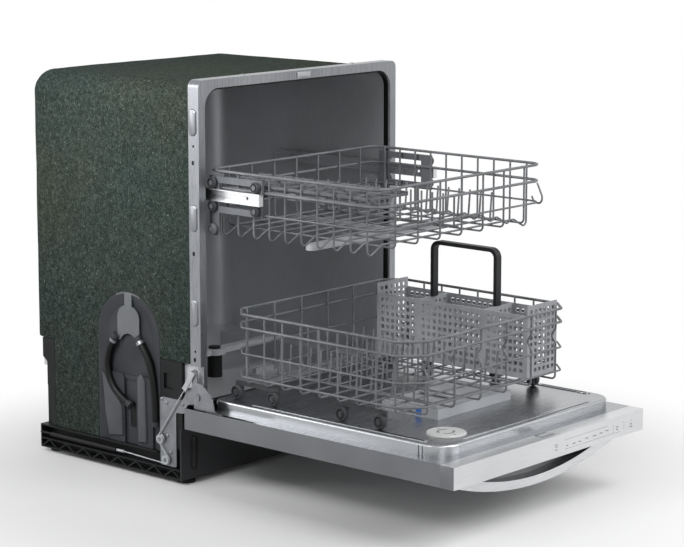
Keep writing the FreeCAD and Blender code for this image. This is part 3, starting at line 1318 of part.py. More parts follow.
def make_wheels():
    radius, width, axle = float(S.wheel_radius), float(S.wheel_width), float(S.axle_radius)
    gap, head = float(S.slide_gap), float(S.axle_head)
    outer = -float(S.wheel_track / 2) - width / 2
    inner = outer + width + gap
    axis_z = float(liner_top) + gap + radius
    thick, wide = float(S.carrier_thick), float(S.carrier_width)
    top = float(S.lower_floor - S.rack_wire) - gap
    carriers = []
    for index, station in enumerate(WHEEL_STATIONS):
        wheel = wheel_shape(radius, width, axle + float(S.running_gap), outer)
        wheel.translate(V(0, -station, axis_z))
        pair("lower_wheels_%d" % (index + 1), [solid("wheel_%d" % index, wheel)])
        low = axis_z - wide / 2
        arm = Part.makeBox(thick, wide, top - low, V(inner, -station - wide / 2, low))
        root = V(inner + thick / 2, -station, axis_z)
        stub = Part.makeCylinder(axle, width + 2 * gap + thick / 2, root, V(-1, 0, 0))
        disc = Part.makeCylinder(head, S.axle_cap, V(outer - gap, -station, axis_z), V(-1, 0, 0))
        carriers.append(solid("carrier_%d" % index, arm.fuse([stub, disc])))
    for index in (0, 2):
        first, last = WHEEL_STATIONS[index], WHEEL_STATIONS[index + 1]
        bar = Part.makeBox(thick, last - first - wide, 8, V(inner, wide / 2 - last, top - 8))
        carriers.append(solid("carrier_bar_%d" % index, bar))
    pair("wheel_carriers", carriers)


# Silverware basket

HOLE_MARGIN = 9
HOLE_SIDE = 8
HOLE_PITCH = 13


def grid(length):
    """Starts of the holes along a wall."""
    count = int((length - 2 * HOLE_MARGIN - HOLE_SIDE) // HOLE_PITCH) + 1
    return spread(HOLE_MARGIN, length - HOLE_MARGIN - HOLE_SIDE, max(count, 2))


def perforated(name, size, at, across):
    """A wall with a grid of square holes. It is thin along the axis named by across."""
    tools = []
    if across == "x":
        for y in grid(size.y):
            for z in grid(size.z):
                tools.append(Part.makeBox(size.x + 2, HOLE_SIDE, HOLE_SIDE, at + V(-1, y, z)))
    elif across == "y":
        for x in grid(size.x):
            for z in grid(size.z):
                tools.append(Part.makeBox(HOLE_SIDE, size.y + 2, HOLE_SIDE, at + V(x, -1, z)))
    else:
        for x in grid(size.x):
            for y in grid(size.y):
                tools.append(Part.makeBox(HOLE_SIDE, HOLE_SIDE, size.z + 2, at + V(x, y, -1)))
    return solid(name, Part.makeBox(size.x, size.y, size.z, at).cut(tools))


def make_basket():
    """Basket along the right side of the lower rack, wall by wall, and its handle."""
    wall, wide, length = float(S.basket_wall), float(S.basket_width), float(S.basket_length)
    x = float(S.lower_width / 2 - S.basket_side) - wide
    y = -float(S.lower_front - S.basket_front)
    z = float(S.lower_floor + S.rack_wire + S.slide_gap)
    up = z + wall
    tall = float(S.basket_height) - wall
    dipped = tall - float(S.basket_dip)
    grip_y = y + float(S.grip_start)
    grip_end = grip_y + float(S.grip_length)
    stations = (y, grip_y, grip_end - wall, y + length - wall)
    parts = [perforated("basket_floor", V(wide, length, wall), V(x, y, z), "z")]
    for index, place in enumerate(stations):
        height = dipped if index in (1, 2) else tall
        parts.append(perforated("basket_cross_%d" % index, V(wide, wall, height), V(x, place, up), "y"))
    for side, place in (("left", x), ("right", x + wide - wall)):
        for bay in range(3):
            first = stations[bay] + wall
            size = V(wall, stations[bay + 1] - first, dipped)
            parts.append(perforated("basket_%s_%d" % (side, bay), size, V(place, first, up), "x"))
    node("silverware_basket", parts)
    thick, foot = float(S.grip_thick), up + dipped
    peak = foot + float(S.grip_height)
    outline = [(grip_y, foot), (grip_y, peak), (grip_end, peak), (grip_end, foot), (grip_end - thick, foot),
               (grip_end - thick, peak - thick), (grip_y + thick, peak - thick), (grip_y + thick, foot)]
    bow = side_face(x + wide / 2 - float(S.grip_width / 2), outline, [0, 20, 20, 0, 0, 12, 12, 0])
    node("basket_handle", [solid("basket_bow", bow.extrude(V(S.grip_width, 0, 0)))])


# Upper rack

UPPER_RIM_DROPS = (0, 33, 77)
UPPER_SIDE_WIRE_COUNT = 10
UPPER_END_WIRE_COUNT = 7
SHELF_SLOT_COUNT = 9


def upper_rim_points(z):
    half, front, back = float(S.upper_width / 2), -float(S.upper_front), float(upper_back)
    return [V(-half, back, z), V(-half, front, z), V(half, front, z), V(half, back, z)]


def make_upper_rack():
    rim, wire, gap, bend = float(S.rim_wire), float(S.rack_wire), float(S.wire_gap), float(S.rack_bend)
    half, top, floor = float(S.upper_width / 2), float(S.upper_rim), float(S.upper_floor)
    front, back = -float(S.upper_front), float(upper_back)
    corner = float(S.upper_corner)
    node("upper_rack_rims", [solid("upper_rims", rims(upper_rim_points, top, UPPER_RIM_DROPS, corner))])
    tuck = rim + gap + wire
    inner = half - tuck
    low = floor - float(S.side_dip)
    flat = inner - float(S.dip_width)
    crosswise = []
    for y in spread(back - corner - 10, front + corner + 10, UPPER_SIDE_WIRE_COUNT):
        path = [V(-inner, y, top), V(-inner, y, low), V(-flat, y, floor), V(flat, y, floor),
                V(inner, y, low), V(inner, y, top)]
        crosswise += bent_wire(path, wire, bend)
    lengthwise = []
    under = floor - 2 * wire - gap
    for x in spread(-flat + 5, flat - 5, UPPER_END_WIRE_COUNT):
        path = [V(x, front + tuck, top), V(x, front + tuck, under), V(x, back - tuck, under),
                V(x, back - tuck, top)]
        lengthwise += bent_wire(path, wire, bend)
    foot = floor + 2 * wire + gap
    fixed = tine_row(0.62 * half, front + 46, back - 46, foot, S.upper_tine, 5)
    node("upper_rack_wires", [solid("upper_wires", Part.Compound(crosswise + lengthwise + fixed))])
    folding = tine_row(0.16 * half, front + 46, back - 46, foot + float(S.slide_gap), S.upper_fold_tine, 0)
    node("upper_fold_tines", [solid("upper_folding", Part.Compound(folding))])


def make_cup_shelf():
    """Fold-down shelf for stemware along the left side of the upper rack."""
    edge = -float(S.upper_width / 2) + float(S.rim_wire + 2 * S.rack_wire + 2 * S.slide_gap)
    first = -float(S.upper_front) + float(S.shelf_end)
    length = float(S.upper_depth) - 2 * float(S.shelf_end)
    width, thick, bar = float(S.shelf_width), float(S.shelf_thick), float(S.shelf_bar)
    low = float(S.upper_rim - S.shelf_drop) - thick / 2
    pitch = length / SHELF_SLOT_COUNT
    slot_width = (width - 4 * bar) / 3
    tools = []
    for index in range(SHELF_SLOT_COUNT):
        y = first + pitch * index + bar / 2
        for row in range(3):
            x = edge + bar + row * (slot_width + bar)
            tools.append(Part.makeBox(slot_width, pitch - bar, 3 * thick, V(x, y, low - thick)))
    plate = Part.makeBox(width, length, thick, V(edge, first, low)).cut(tools)
    lip = Part.makeBox(bar / 2, length, 2 * thick, V(edge + width - bar / 2, first, low))
    turn = Part.makeCylinder(S.shelf_rod, length, V(edge + S.shelf_rod, first, low + thick / 2), V(0, 1, 0))
    node("cup_shelf", [solid("shelf", plate.fuse([lip, turn]).removeSplitter())])


def make_rollers():
    """Rollers above and below the rails, and the brackets that carry them."""
    radius, width, axle = float(S.roller_radius), float(S.roller_width), float(S.axle_radius)
    gap = float(S.slide_gap)
    inner = -float(rail_in)
    outer = inner - width
    over = float(rail_high) + gap + radius
    under = float(rail_low) - gap - radius
    spare = under - float(S.spare_drop)
    back, front = -float(S.roller_back), -float(S.roller_front)
    spots = [("top_rear", back, over), ("top_front", front, over), ("low_rear", back, under),
             ("low_front", front, under), ("spare", back, spare)]
    axles = []
    spares = []
    for name, y, z in spots:
        wheel = wheel_shape(radius, width, axle + float(S.running_gap), outer)
        wheel.translate(V(0, y, z))
        roller = solid("roller_" + name, wheel)
        if name == "spare":
            spares.append(roller)
        else:
            pair("rollers_" + name, [roller])
        shank = Part.makeCylinder(axle, width + 2 * gap, V(inner + gap, y, z), V(-1, 0, 0))
        head = Part.makeCylinder(S.axle_head, S.axle_cap, V(outer - gap, y, z), V(-1, 0, 0))
        axles.append(solid("roller_axle_" + name, shank.fuse(head)))
    thick, wide = float(S.bracket_thick), float(S.bracket_width)
    x = -float(bracket_out)
    edge = wide / 2
    straps = [Part.makeBox(thick, wide, over - spare + wide, V(x, back - edge, spare - edge)),
              Part.makeBox(thick, wide, over - under + wide, V(x, front - edge, under - edge)),
              Part.makeBox(thick, back - front, edge, V(x, front, over)),
              Part.makeBox(thick, back - front, edge, V(x, front, under - edge))]
    bracket = straps[0].fuse(straps[1:]).removeSplitter()
    pair("roller_brackets", [solid("bracket_left", bracket)] + axles + spares)


def make_rails():
    gap, wall = S.slide_gap, S.rail_wall
    front, back = -S.rail_front, -S.rail_front + S.rail_length
    body = block("rail_body", (-rail_outer, -rail_in), (front, back), (rail_low, rail_high))
    channel = block("rail_channel", (-rail_outer - 1, -rail_in - wall), (front + S.rail_stop, back + 1),
                    (rail_low + wall, rail_high - wall))
    hole = rod("rail_hole", "x", (-rail_outer, front + 40, S.rail_mid), S.axle_radius, 2 * S.rail_width)
    pair("upper_rails", [cut("rail_cut", body, [channel, hole])])
    guide = block("guide_shoe", (-tub_half, -rail_in - wall - gap),
                  (S.guide_front, S.guide_front + S.guide_length),
                  (rail_low + wall + gap, rail_high - wall - gap))
    pair("rail_guides", [guide])


# Spray arms

def spray_arm(label, y, z):
    """A long arm with rounded tips and a bored boss."""
    reach, half, thick = float(S.arm_radius), float(S.arm_width / 2), float(S.arm_thick)
    outline = [V(-reach, y - half, z), V(reach, y - half, z), V(reach, y + half, z), V(-reach, y + half, z)]
    blade = rounded_face(outline, [0.9 * half] * 4).extrude(V(0, 0, thick))
    boss = Part.makeCylinder(S.arm_boss, thick, V(0, y, z))
    bore = Part.makeCylinder(S.arm_pivot + S.running_gap, 3 * thick, V(0, y, z - thick))
    node(label, [solid(label + "_blade", blade.fuse(boss).removeSplitter().cut(bore))])


def make_upper_spray():
    y = -S.upper_front + S.upper_depth / 2
    feed_top = S.upper_floor - 3 * S.rack_wire - 2 * S.wire_gap
    feed_low = feed_top - S.feed_height
    arm_z = feed_low - S.slide_gap - S.arm_thick
    nut_top = arm_z - S.slide_gap
    half = S.feed_width / 2
    spray_arm("upper_spray_arm", float(y), float(arm_z))
    tube = block("feed_tube", (-half, half), (y - S.arm_boss, upper_back + S.rim_wire), (feed_low, feed_top))
    pin = rod("feed_pin", "z", (0, y, nut_top), S.arm_pivot, feed_low - nut_top)
    nut = rod("feed_nut", "z", (0, y, nut_top - S.arm_cap_thick), S.arm_cap, S.arm_cap_thick)
    node("upper_feed_tube", [join("feed_all", [tube, pin, nut])])


# The whole object

make_tub()
make_frame()
make_gasket()
make_blanket()
make_base()
make_feet()
make_toe_kick()
make_supports()
make_inlet()
make_sump()
make_pumps()
make_tub_fittings()
make_hinge_plates()
make_hinge_arms()
make_cords()
make_pulleys()
make_outer_panel()
make_liner()
make_fascia()
make_handle()
make_dispenser()
make_lower_rack()
make_wheels()
make_basket()
make_upper_rack()
make_cup_shelf()
make_rollers()
make_rails()
spray_arm("lower_spray_arm", float(spray_y), float(lower_arm_z))
make_upper_spray()
doc.recompute()


def check_and_write():
    """Stops on a failed object, then writes one file for each sub-part."""
    for obj in doc.Objects:
        if "Invalid" in obj.State or "Error" in obj.State:
            raise RuntimeError("%s failed: %s" % (obj.Name, obj.State))
    for obj in nodes:
        if obj.Shape.isNull() or not obj.Shape.isValid() or not obj.Shape.Solids:
            raise RuntimeError("%s has no valid solid" % obj.Label)
    os.makedirs("parts", exist_ok=True)
    for obj in nodes:
        obj.Shape.exportStep(os.path.join("parts", obj.Label + ".step"))
        print("%-22s %4d solids  volume %10.0f" % (obj.Label, len(obj.Shape.Solids), obj.Shape.Volume))
    print("%d sub-parts" % len(nodes))


check_and_write()
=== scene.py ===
import json
import math

import bmesh
import bpy
from mathutils import Matrix, Vector, noise


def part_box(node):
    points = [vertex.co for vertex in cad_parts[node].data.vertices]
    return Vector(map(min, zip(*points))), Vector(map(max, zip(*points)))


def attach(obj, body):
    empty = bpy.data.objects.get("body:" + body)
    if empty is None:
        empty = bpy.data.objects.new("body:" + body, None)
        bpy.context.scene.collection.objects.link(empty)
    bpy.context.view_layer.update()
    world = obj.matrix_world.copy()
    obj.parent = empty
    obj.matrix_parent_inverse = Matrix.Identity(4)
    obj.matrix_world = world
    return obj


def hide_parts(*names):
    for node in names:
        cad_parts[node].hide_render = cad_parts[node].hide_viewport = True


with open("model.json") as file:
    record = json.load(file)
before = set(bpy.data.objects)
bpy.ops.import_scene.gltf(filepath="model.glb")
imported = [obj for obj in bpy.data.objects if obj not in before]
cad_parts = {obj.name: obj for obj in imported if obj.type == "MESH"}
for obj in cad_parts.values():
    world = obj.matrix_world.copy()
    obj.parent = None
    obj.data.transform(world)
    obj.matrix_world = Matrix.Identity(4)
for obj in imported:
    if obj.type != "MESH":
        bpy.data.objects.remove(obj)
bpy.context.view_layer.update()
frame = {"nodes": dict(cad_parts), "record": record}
nodes = frame["nodes"]

MM = 0.001
LEFT, FRONT, UP = (-1, 0, 0), (0, -1, 0), (0, 0, 1)


# Helpers for finishes

def linear(hex_text):
    """An sRGB hex colour as linear RGBA."""
    parts = [int(hex_text[start:start + 2], 16) / 255 for start in (0, 2, 4)]
    return [part / 12.92 if part <= 0.04045 else ((part + 0.055) / 1.055) ** 2.4 for part in parts] + [1.0]


def per_mm(size):
    """The texture scale at which one cell measures that many millimetres."""
    return 1 / (size * MM)


def add(tree, kind, inputs=None, stops=None, **settings):
    """One shader node with its settings. An input is a value or another node's output."""
    node = tree.nodes.new("ShaderNode" + kind)
    for name, value in settings.items():
        setattr(node, name, value)
    for socket, value in (inputs or {}).items():
        if isinstance(value, bpy.types.NodeSocket):
            tree.links.new(value, node.inputs[socket])
        else:
            node.inputs[socket].default_value = value
    if stops:
        ramp = node.color_ramp.elements
        while len(ramp) < len(stops):
            ramp.new(0.5)
        for element, (place, colour) in zip(ramp, stops):
            element.position = place
            element.color = linear(colour)
    return node


def start_finish(name, inputs):
    """A new material with its shader. Returns the material, its tree, its shader and Object coordinates."""
    material = bpy.data.materials.new(name)
    material.use_nodes = True
    tree = material.node_tree
    tree.nodes.clear()
    shader = add(tree, "BsdfPrincipled", inputs)
    add(tree, "OutputMaterial", {"Surface": shader.outputs["BSDF"]})
    return material, tree, shader, add(tree, "TexCoord").outputs["Object"]


def moulded(name, dark, light, roughness, grit=1.5, depth=0.15, shine=0.5):
    """Moulded plastic: a fine spark-eroded grit that breaks up the highlight, and slow changes of tone.
    A filled black plastic shines less than a clear-skinned one."""
    material, tree, shader, place = start_finish(name, {"Roughness": roughness, "Specular IOR Level": shine})
    cloud = add(tree, "TexNoise", {"Vector": place, "Scale": per_mm(70), "Detail": 3.0})
    grain = add(tree, "TexNoise", {"Vector": place, "Scale": per_mm(grit), "Detail": 2.0})
    both = add(tree, "Mix", {0: 0.35, 2: cloud.outputs["Fac"], 3: grain.outputs["Fac"]})
    colour = add(tree, "ValToRGB", {"Fac": both.outputs[0]}, stops=((0.35, dark), (0.65, light)))
    tree.links.new(colour.outputs["Color"], shader.inputs["Base Color"])
    bump = add(tree, "Bump", {"Height": grain.outputs["Fac"], "Strength": depth, "Distance": 0.3 * MM})
    tree.links.new(bump.outputs["Normal"], shader.inputs["Normal"])
    return material


def brushed(name, dark, light, roughness, stretch, line=1.2, metal=1.0):
    """Rolled and brushed metal: long fine scratches one way, so the light is drawn out across them. The
    scratches are drawn about a millimetre wide, far coarser than real ones, so that they show."""
    material, tree, shader, place = start_finish(name, {"Metallic": metal})
    along = add(tree, "Mapping", {"Vector": place, "Scale": stretch})
    lines = add(tree, "TexNoise", {"Vector": along.outputs["Vector"], "Scale": per_mm(line), "Detail": 4.0})
    cloud = add(tree, "TexNoise", {"Vector": place, "Scale": per_mm(160), "Detail": 2.0})
    both = add(tree, "Mix", {0: 0.5, 2: lines.outputs["Fac"], 3: cloud.outputs["Fac"]})
    colour = add(tree, "ValToRGB", {"Fac": both.outputs[0]}, stops=((0.35, dark), (0.65, light)))
    tree.links.new(colour.outputs["Color"], shader.inputs["Base Color"])
    rough = add(tree, "MapRange", {"Value": lines.outputs["Fac"], "From Min": 0.3, "From Max": 0.7,
                                   "To Min": roughness - 0.06, "To Max": roughness + 0.08})
    tree.links.new(rough.outputs["Result"], shader.inputs["Roughness"])
    bump = add(tree, "Bump", {"Height": lines.outputs["Fac"], "Strength": 0.08, "Distance": 0.2 * MM})
    tree.links.new(bump.outputs["Normal"], shader.inputs["Normal"])
    return material


def plated(name, dark, light, roughness):
    """Plated or painted pressed steel: faint crystal patches under a thin dull sheen."""
    material, tree, shader, place = start_finish(name, {"Metallic": 1.0})
    crystals = add(tree, "TexVoronoi", {"Vector": place, "Scale": per_mm(4)})
    cloud = add(tree, "TexNoise", {"Vector": place, "Scale": per_mm(30), "Detail": 4.0})
    both = add(tree, "Mix", {0: 0.75, 2: crystals.outputs["Distance"], 3: cloud.outputs["Fac"]})
    colour = add(tree, "ValToRGB", {"Fac": both.outputs[0]}, stops=((0.3, dark), (0.7, light)))
    tree.links.new(colour.outputs["Color"], shader.inputs["Base Color"])
    rough = add(tree, "MapRange", {"Value": cloud.outputs["Fac"], "From Min": 0.3, "From Max": 0.7,
                                   "To Min": roughness - 0.08, "To Max": roughness + 0.1})
    tree.links.new(rough.outputs["Result"], shader.inputs["Roughness"])
    return material


def coated_wire():
    """Steel wire dipped in nylon powder: an even satin coat with a slight orange-peel skin."""
    material, tree, shader, place = start_finish("nylon_coated_wire", {"Roughness": 0.42})
    peel = add(tree, "TexNoise", {"Vector": place, "Scale": per_mm(2.5), "Detail": 2.0})
    cloud = add(tree, "TexNoise", {"Vector": place, "Scale": per_mm(55), "Detail": 2.0})
    colour = add(tree, "ValToRGB", {"Fac": cloud.outputs["Fac"]}, stops=((0.35, "5c5e61"), (0.65, "707276")))
    tree.links.new(colour.outputs["Color"], shader.inputs["Base Color"])
    bump = add(tree, "Bump", {"Height": peel.outputs["Fac"], "Strength": 0.2, "Distance": 0.2 * MM})
    tree.links.new(bump.outputs["Normal"], shader.inputs["Normal"])
    return material


# Threads of the felt, layer by layer: turn, size of wander in millimetres, width in the noise and tone
FELT_THREADS = (((0.3, 0.5, 0.2), 8, 0.02, "68756d"), ((1.7, 0.4, 0.9), 11, 0.016, "7a857b"),
                ((0.5, 1.2, 2.2), 6, 0.022, "52625a"), ((0.9, 2.1, 0.6), 7, 0.024, "121715"))


def needled_felt():
    """Needle-punched recycled felt: a dark matted ground, greener in some places and browner in others, with
    short thin threads lying every way. The threads are drawn thicker than real ones, so that they show from
    across a room."""
    material, tree, shader, place = start_finish("needled_felt", {"Roughness": 0.95,
                                                                  "Specular IOR Level": 0.06})
    clump = add(tree, "TexNoise", {"Vector": place, "Scale": per_mm(9), "Detail": 5.0, "Roughness": 0.7})
    ground = add(tree, "ValToRGB", {"Fac": clump.outputs["Fac"]},
                 stops=((0.3, "1d2220"), (0.5, "2f3633"), (0.72, "47504c")))
    batch = add(tree, "TexNoise", {"Vector": place, "Scale": per_mm(240), "Detail": 2.0})
    dye = add(tree, "ValToRGB", {"Fac": batch.outputs["Fac"]},
              stops=((0.38, "d2dcda"), (0.5, "dde0dc"), (0.62, "e4dfd2")))
    tinted = add(tree, "Mix", {0: 1.0, 6: ground.outputs["Color"], 7: dye.outputs["Color"]},
                 data_type="RGBA", blend_type="MULTIPLY")
    colour = tinted.outputs[2]
    height = clump.outputs["Fac"]
    for turn, size, width, tone in FELT_THREADS:
        lay = add(tree, "Mapping", {"Vector": place, "Rotation": turn, "Scale": (1.0, 2.6, 1.0)})
        wander = add(tree, "TexNoise", {"Vector": lay.outputs["Vector"], "Scale": per_mm(size),
                                        "Detail": 1.0, "Distortion": 0.8})
        off = add(tree, "Math", {0: wander.outputs["Fac"], 1: 0.5}, operation="SUBTRACT")
        size_off = add(tree, "Math", {0: off.outputs[0]}, operation="ABSOLUTE")
        line = add(tree, "MapRange", {"Value": size_off.outputs[0], "From Min": 0.0, "From Max": width,
                                      "To Min": 1.0, "To Max": 0.0})
        patch = add(tree, "TexNoise", {"Vector": lay.outputs["Vector"], "Scale": per_mm(5), "Detail": 0.0})
        broken = add(tree, "MapRange", {"Value": patch.outputs["Fac"], "From Min": 0.54, "From Max": 0.66})
        shown = add(tree, "Math", {0: line.outputs[0], 1: broken.outputs[0]}, operation="MULTIPLY")
        mixed = add(tree, "Mix", {0: shown.outputs[0], 6: colour, 7: linear(tone)}, data_type="RGBA")
        colour = mixed.outputs[2]
        raised = add(tree, "Math", {0: shown.outputs[0], 1: 0.4, 2: height}, operation="MULTIPLY_ADD")
        height = raised.outputs[0]
    tree.links.new(colour, shader.inputs["Base Color"])
    bump = add(tree, "Bump", {"Height": height, "Strength": 0.7, "Distance": 1.0 * MM})
    tree.links.new(bump.outputs["Normal"], shader.inputs["Normal"])
    return material


def rubber(name, dark, light, roughness):
    """Extruded EPDM rubber: soft dark sheen with a dusty bloom."""
    material, tree, shader, place = start_finish(name, {"Roughness": roughness, "Specular IOR Level": 0.18})
    bloom = add(tree, "TexNoise", {"Vector": place, "Scale": per_mm(18), "Detail": 5.0})
    colour = add(tree, "ValToRGB", {"Fac": bloom.outputs["Fac"]}, stops=((0.35, dark), (0.7, light)))
    tree.links.new(colour.outputs["Color"], shader.inputs["Base Color"])
    bump = add(tree, "Bump", {"Height": bloom.outputs["Fac"], "Strength": 0.1, "Distance": 0.3 * MM})
    tree.links.new(bump.outputs["Normal"], shader.inputs["Normal"])
    return material


# Grain directions: a small scale along an axis draws the scratches out that way
ALONG_X = (0.02, 1.0, 1.0)
ALONG_Y = (1.0, 0.02, 1.0)
ALONG_Z = (1.0, 1.0, 0.02)

finishes = {
    # Stainless sheet: pale and matt in the tub, with a sharper sheen on the frame and the door
    "tub_steel": brushed("tub_stainless", "a9abae", "bbbdc0", 0.4, ALONG_Z, metal=0.4),
    "frame_steel": brushed("frame_stainless", "7c7e82", "929498", 0.3, ALONG_Z),
    "door_steel": brushed("door_stainless", "6f7174", "818386", 0.3, ALONG_X),
    "liner_steel": brushed("liner_stainless", "9fa1a4", "b0b2b5", 0.28, ALONG_X, line=0.8),
    # Pale silver surfaces of the handle, its scoop, the control strip and the rails: the lightest of all
    "handle_metal": brushed("brushed_bar_handle", "c8c9cc", "dadbdd", 0.3, ALONG_X),
    "handle_lining": brushed("silver_lacquered_scoop", "bfc0c3", "d0d1d3", 0.5, ALONG_X, metal=0.2),
    "fascia_plastic": brushed("silver_fascia", "cacbcd", "dadbdc", 0.34, ALONG_X),
    "rail_metal": brushed("anodised_aluminium_rail", "c6c7c9", "dadbdc", 0.3, ALONG_Y),
    # Plated, painted and coated steel: dull patches on sheet, and an even satin skin on the wire
    "zinc": plated("zinc_plated_steel", "74767a", "8a8c90", 0.42),
    "motor_metal": plated("painted_motor_case", "2d2e30", "434446", 0.5),
    "rack_wire": coated_wire(),
    # Soft dark materials, which give back little light
    "felt": needled_felt(),
    # Besides the rubber parts, this black paints shade: the dark insides of the keyholes, slots and grooves
    "black_rubber": rubber("black_epdm_rubber_and_painted_shade", "060607", "0d0e0f", 0.42),
    # Black and charcoal mouldings of the base, the duct, the wheels and the basket's handle: a dull skin
    "base_plastic": moulded("black_polypropylene", "131415", "1e1f20", 0.46, shine=0.15),
    "kick_plastic": moulded("black_abs_kick", "222325", "2d2e30", 0.42, shine=0.3),
    # Painted shade: the duct's plastic is darker than its own mid-grey, for the shade in its recesses; the
    # pillars and the cover show paler greys
    "duct_plastic": moulded("shade_darkened_polypropylene_duct", "2b2d30", "393b3e", 0.5, shine=0.12),
    "duct_pillar": moulded("charcoal_polypropylene", "3e4044", "4c4e52", 0.5, shine=0.2),
    "duct_cover": moulded("grey_polypropylene_cover", "494b4f", "585a5e", 0.5),
    "basket_grip": moulded("black_polypropylene_grip", "1b1c1e", "28292b", 0.45, shine=0.25),
    "wheel_plastic": moulded("grey_acetal", "303134", "3f4043", 0.4, shine=0.3),
    # Grey and white mouldings, with a clearer skin and so a soft highlight
    "bracket_plastic": moulded("slate_grey_polypropylene", "56585c", "696b6f", 0.45, shine=0.3),
    "basket_plastic": moulded("mid_grey_polypropylene", "909296", "a4a6aa", 0.46),
    "grey_plastic": moulded("grey_polypropylene", "989a9e", "acaeb2", 0.45),
    "white_plastic": moulded("white_abs", "bcbdbc", "cdcecd", 0.32, depth=0.05),
    "board": moulded("lacquered_board", "12321f", "1d4a2e", 0.3),
    # Marks: matt grey ink, and one small spot of colour
    "printed_marks": moulded("grey_printing_ink", "5d5f62", "6f7174", 0.5),
    "blue_mark": moulded("blue_abs", "1f5fb0", "2d6fc0", 0.4),
}

# Nodes that look different from the rest of their slot
OWN_FINISH = {"door_inner_liner": "liner_steel", "basket_handle": "basket_grip",
              "toe_kick": "kick_plastic", "roller_brackets": "bracket_plastic",
              "cup_shelf": "bracket_plastic", "water_conduit": "basket_grip"}

for row in frame["record"]["subparts"]:
    slots = nodes[row["node"]].data.materials
    slots.clear()
    slots.append(finishes[OWN_FINISH.get(row["node"], row["material_slot"])])


# Helpers for pieces, in millimetres

def finish_piece(name, mesh_data, body, slot):
    """Turns a bmesh into a named piece with a finish, riding on a body."""
    mesh = bpy.data.meshes.new(name)
    mesh_data.to_mesh(mesh)
    mesh_data.free()
    piece = bpy.data.objects.new(name, mesh)
    bpy.context.scene.collection.objects.link(piece)
    mesh.materials.append(finishes[slot])
    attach(piece, body)
    return piece


def smooth(piece, angle=35):
    """Smooth shading over all edges flatter than an angle."""
    piece.data.shade_smooth()
    piece.data.set_sharp_from_angle(angle=math.radians(angle))
    return piece


def place_into(target, part, centre, axis=UP, long_way=(1, 0, 0)):
    """Puts a shape into a larger one, with its own Z along an axis and its X along a way."""
    side = Vector(axis).cross(Vector(long_way))
    place = Matrix((Vector(long_way), side, Vector(axis))).transposed().to_4x4()
    place.translation = Vector(centre)
    bmesh.ops.transform(part, matrix=Matrix.Scale(MM, 4) @ place, verts=part.verts)
    mesh = bpy.data.meshes.new("part")
    part.to_mesh(mesh)
    part.free()
    target.from_mesh(mesh)
    bpy.data.meshes.remove(mesh)


def box_mm(node):
    """A node's lowest and highest corners."""
    return [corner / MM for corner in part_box(node)]


def around(turn):
    """The way that points at an angle about Z, in degrees from X."""
    return Vector((math.cos(math.radians(turn)), math.sin(math.radians(turn)), 0))


def soften(part, edges, size):
    """Rounds some edges of a shape."""
    bmesh.ops.bevel(part, geom=edges, offset=size, offset_type="OFFSET", segments=3, profile=0.5,
                    affect="EDGES", material=-1)


def soften_top(part, height, size):
    """Rounds the upper rim of a shape that stands on its base."""
    rim = [edge for edge in part.edges if all(vert.co.z > height / 2 for vert in edge.verts)]
    soften(part, rim, size)


def slab(size, rounding):
    """A block with softened edges, standing on its own base."""
    part = bmesh.new()
    bmesh.ops.create_cube(part, size=1)
    bmesh.ops.scale(part, vec=size, verts=part.verts)
    bmesh.ops.translate(part, vec=(0, 0, size[2] / 2), verts=part.verts)
    soften(part, part.edges[:], rounding)
    return part


def oval(length, width, height, rounding):
    """A disc pulled out along X, standing on its base, with a rounded top rim."""
    part = bmesh.new()
    segments = 32
    bmesh.ops.create_cone(part, cap_ends=True, segments=segments, radius1=width / 2, radius2=width / 2,
                          depth=height)
    half_step = Matrix.Rotation(math.pi / segments, 4, "Z")
    bmesh.ops.transform(part, matrix=Matrix.Translation((0, 0, height / 2)) @ half_step, verts=part.verts)
    for vert in part.verts:
        vert.co.x += math.copysign((length - width) / 2, vert.co.x)
    soften_top(part, height, rounding)
    return part


def plate(outline, height, rounding):
    """A flat outline pulled up to a plate, with a rounded top rim."""
    part = bmesh.new()
    face = part.faces.new([part.verts.new((*point, 0)) for point in outline])
    grown = bmesh.ops.extrude_face_region(part, geom=[face], use_keep_orig=True)
    lifted = [item for item in grown["geom"] if isinstance(item, bmesh.types.BMVert)]
    bmesh.ops.translate(part, verts=lifted, vec=(0, 0, height))
    bmesh.ops.recalc_face_normals(part, faces=part.faces)
    soften_top(part, height, rounding)
    return part


def screw_head(radius, height):
    """A pan head with a sunk drive."""
    part = oval(2 * radius, 2 * radius, height, 0.6 * height)
    top = max(part.faces, key=lambda face: face.calc_center_median().z)
    bmesh.ops.inset_individual(part, faces=[top], thickness=0.3 * radius, depth=0)
    bmesh.ops.inset_individual(part, faces=[top], thickness=0.1 * radius, depth=-0.5 * height)
    return part


def turned_shape(outline):
    """A closed outline of (radius, height) points turned about Z."""
    part = bmesh.new()
    verts = [part.verts.new((radius, 0, height)) for radius, height in outline]
    edges = [part.edges.new((first, second)) for first, second in zip(verts, verts[1:] + verts[:1])]
    bmesh.ops.spin(part, geom=verts + edges, cent=(0, 0, 0), axis=UP, angle=2 * math.pi, steps=40,
                   use_merge=True)
    bmesh.ops.remove_doubles(part, verts=part.verts, dist=0.001)
    bmesh.ops.recalc_face_normals(part, faces=part.faces)
    return part


def arc_band(inner, outer, height, first, sweep):
    """A flat curved band that starts at an angle and sweeps on, in degrees."""
    part = bmesh.new()
    corners = ((inner, 0, 0), (outer, 0, 0), (outer, 0, height), (inner, 0, height))
    face = part.faces.new([part.verts.new(corner) for corner in corners])
    bmesh.ops.spin(part, geom=[face], cent=(0, 0, 0), axis=UP, angle=math.radians(sweep), steps=20)
    turn = Matrix.Rotation(math.radians(first), 3, "Z")
    bmesh.ops.rotate(part, verts=part.verts, cent=(0, 0, 0), matrix=turn)
    bmesh.ops.recalc_face_normals(part, faces=part.faces)
    return part


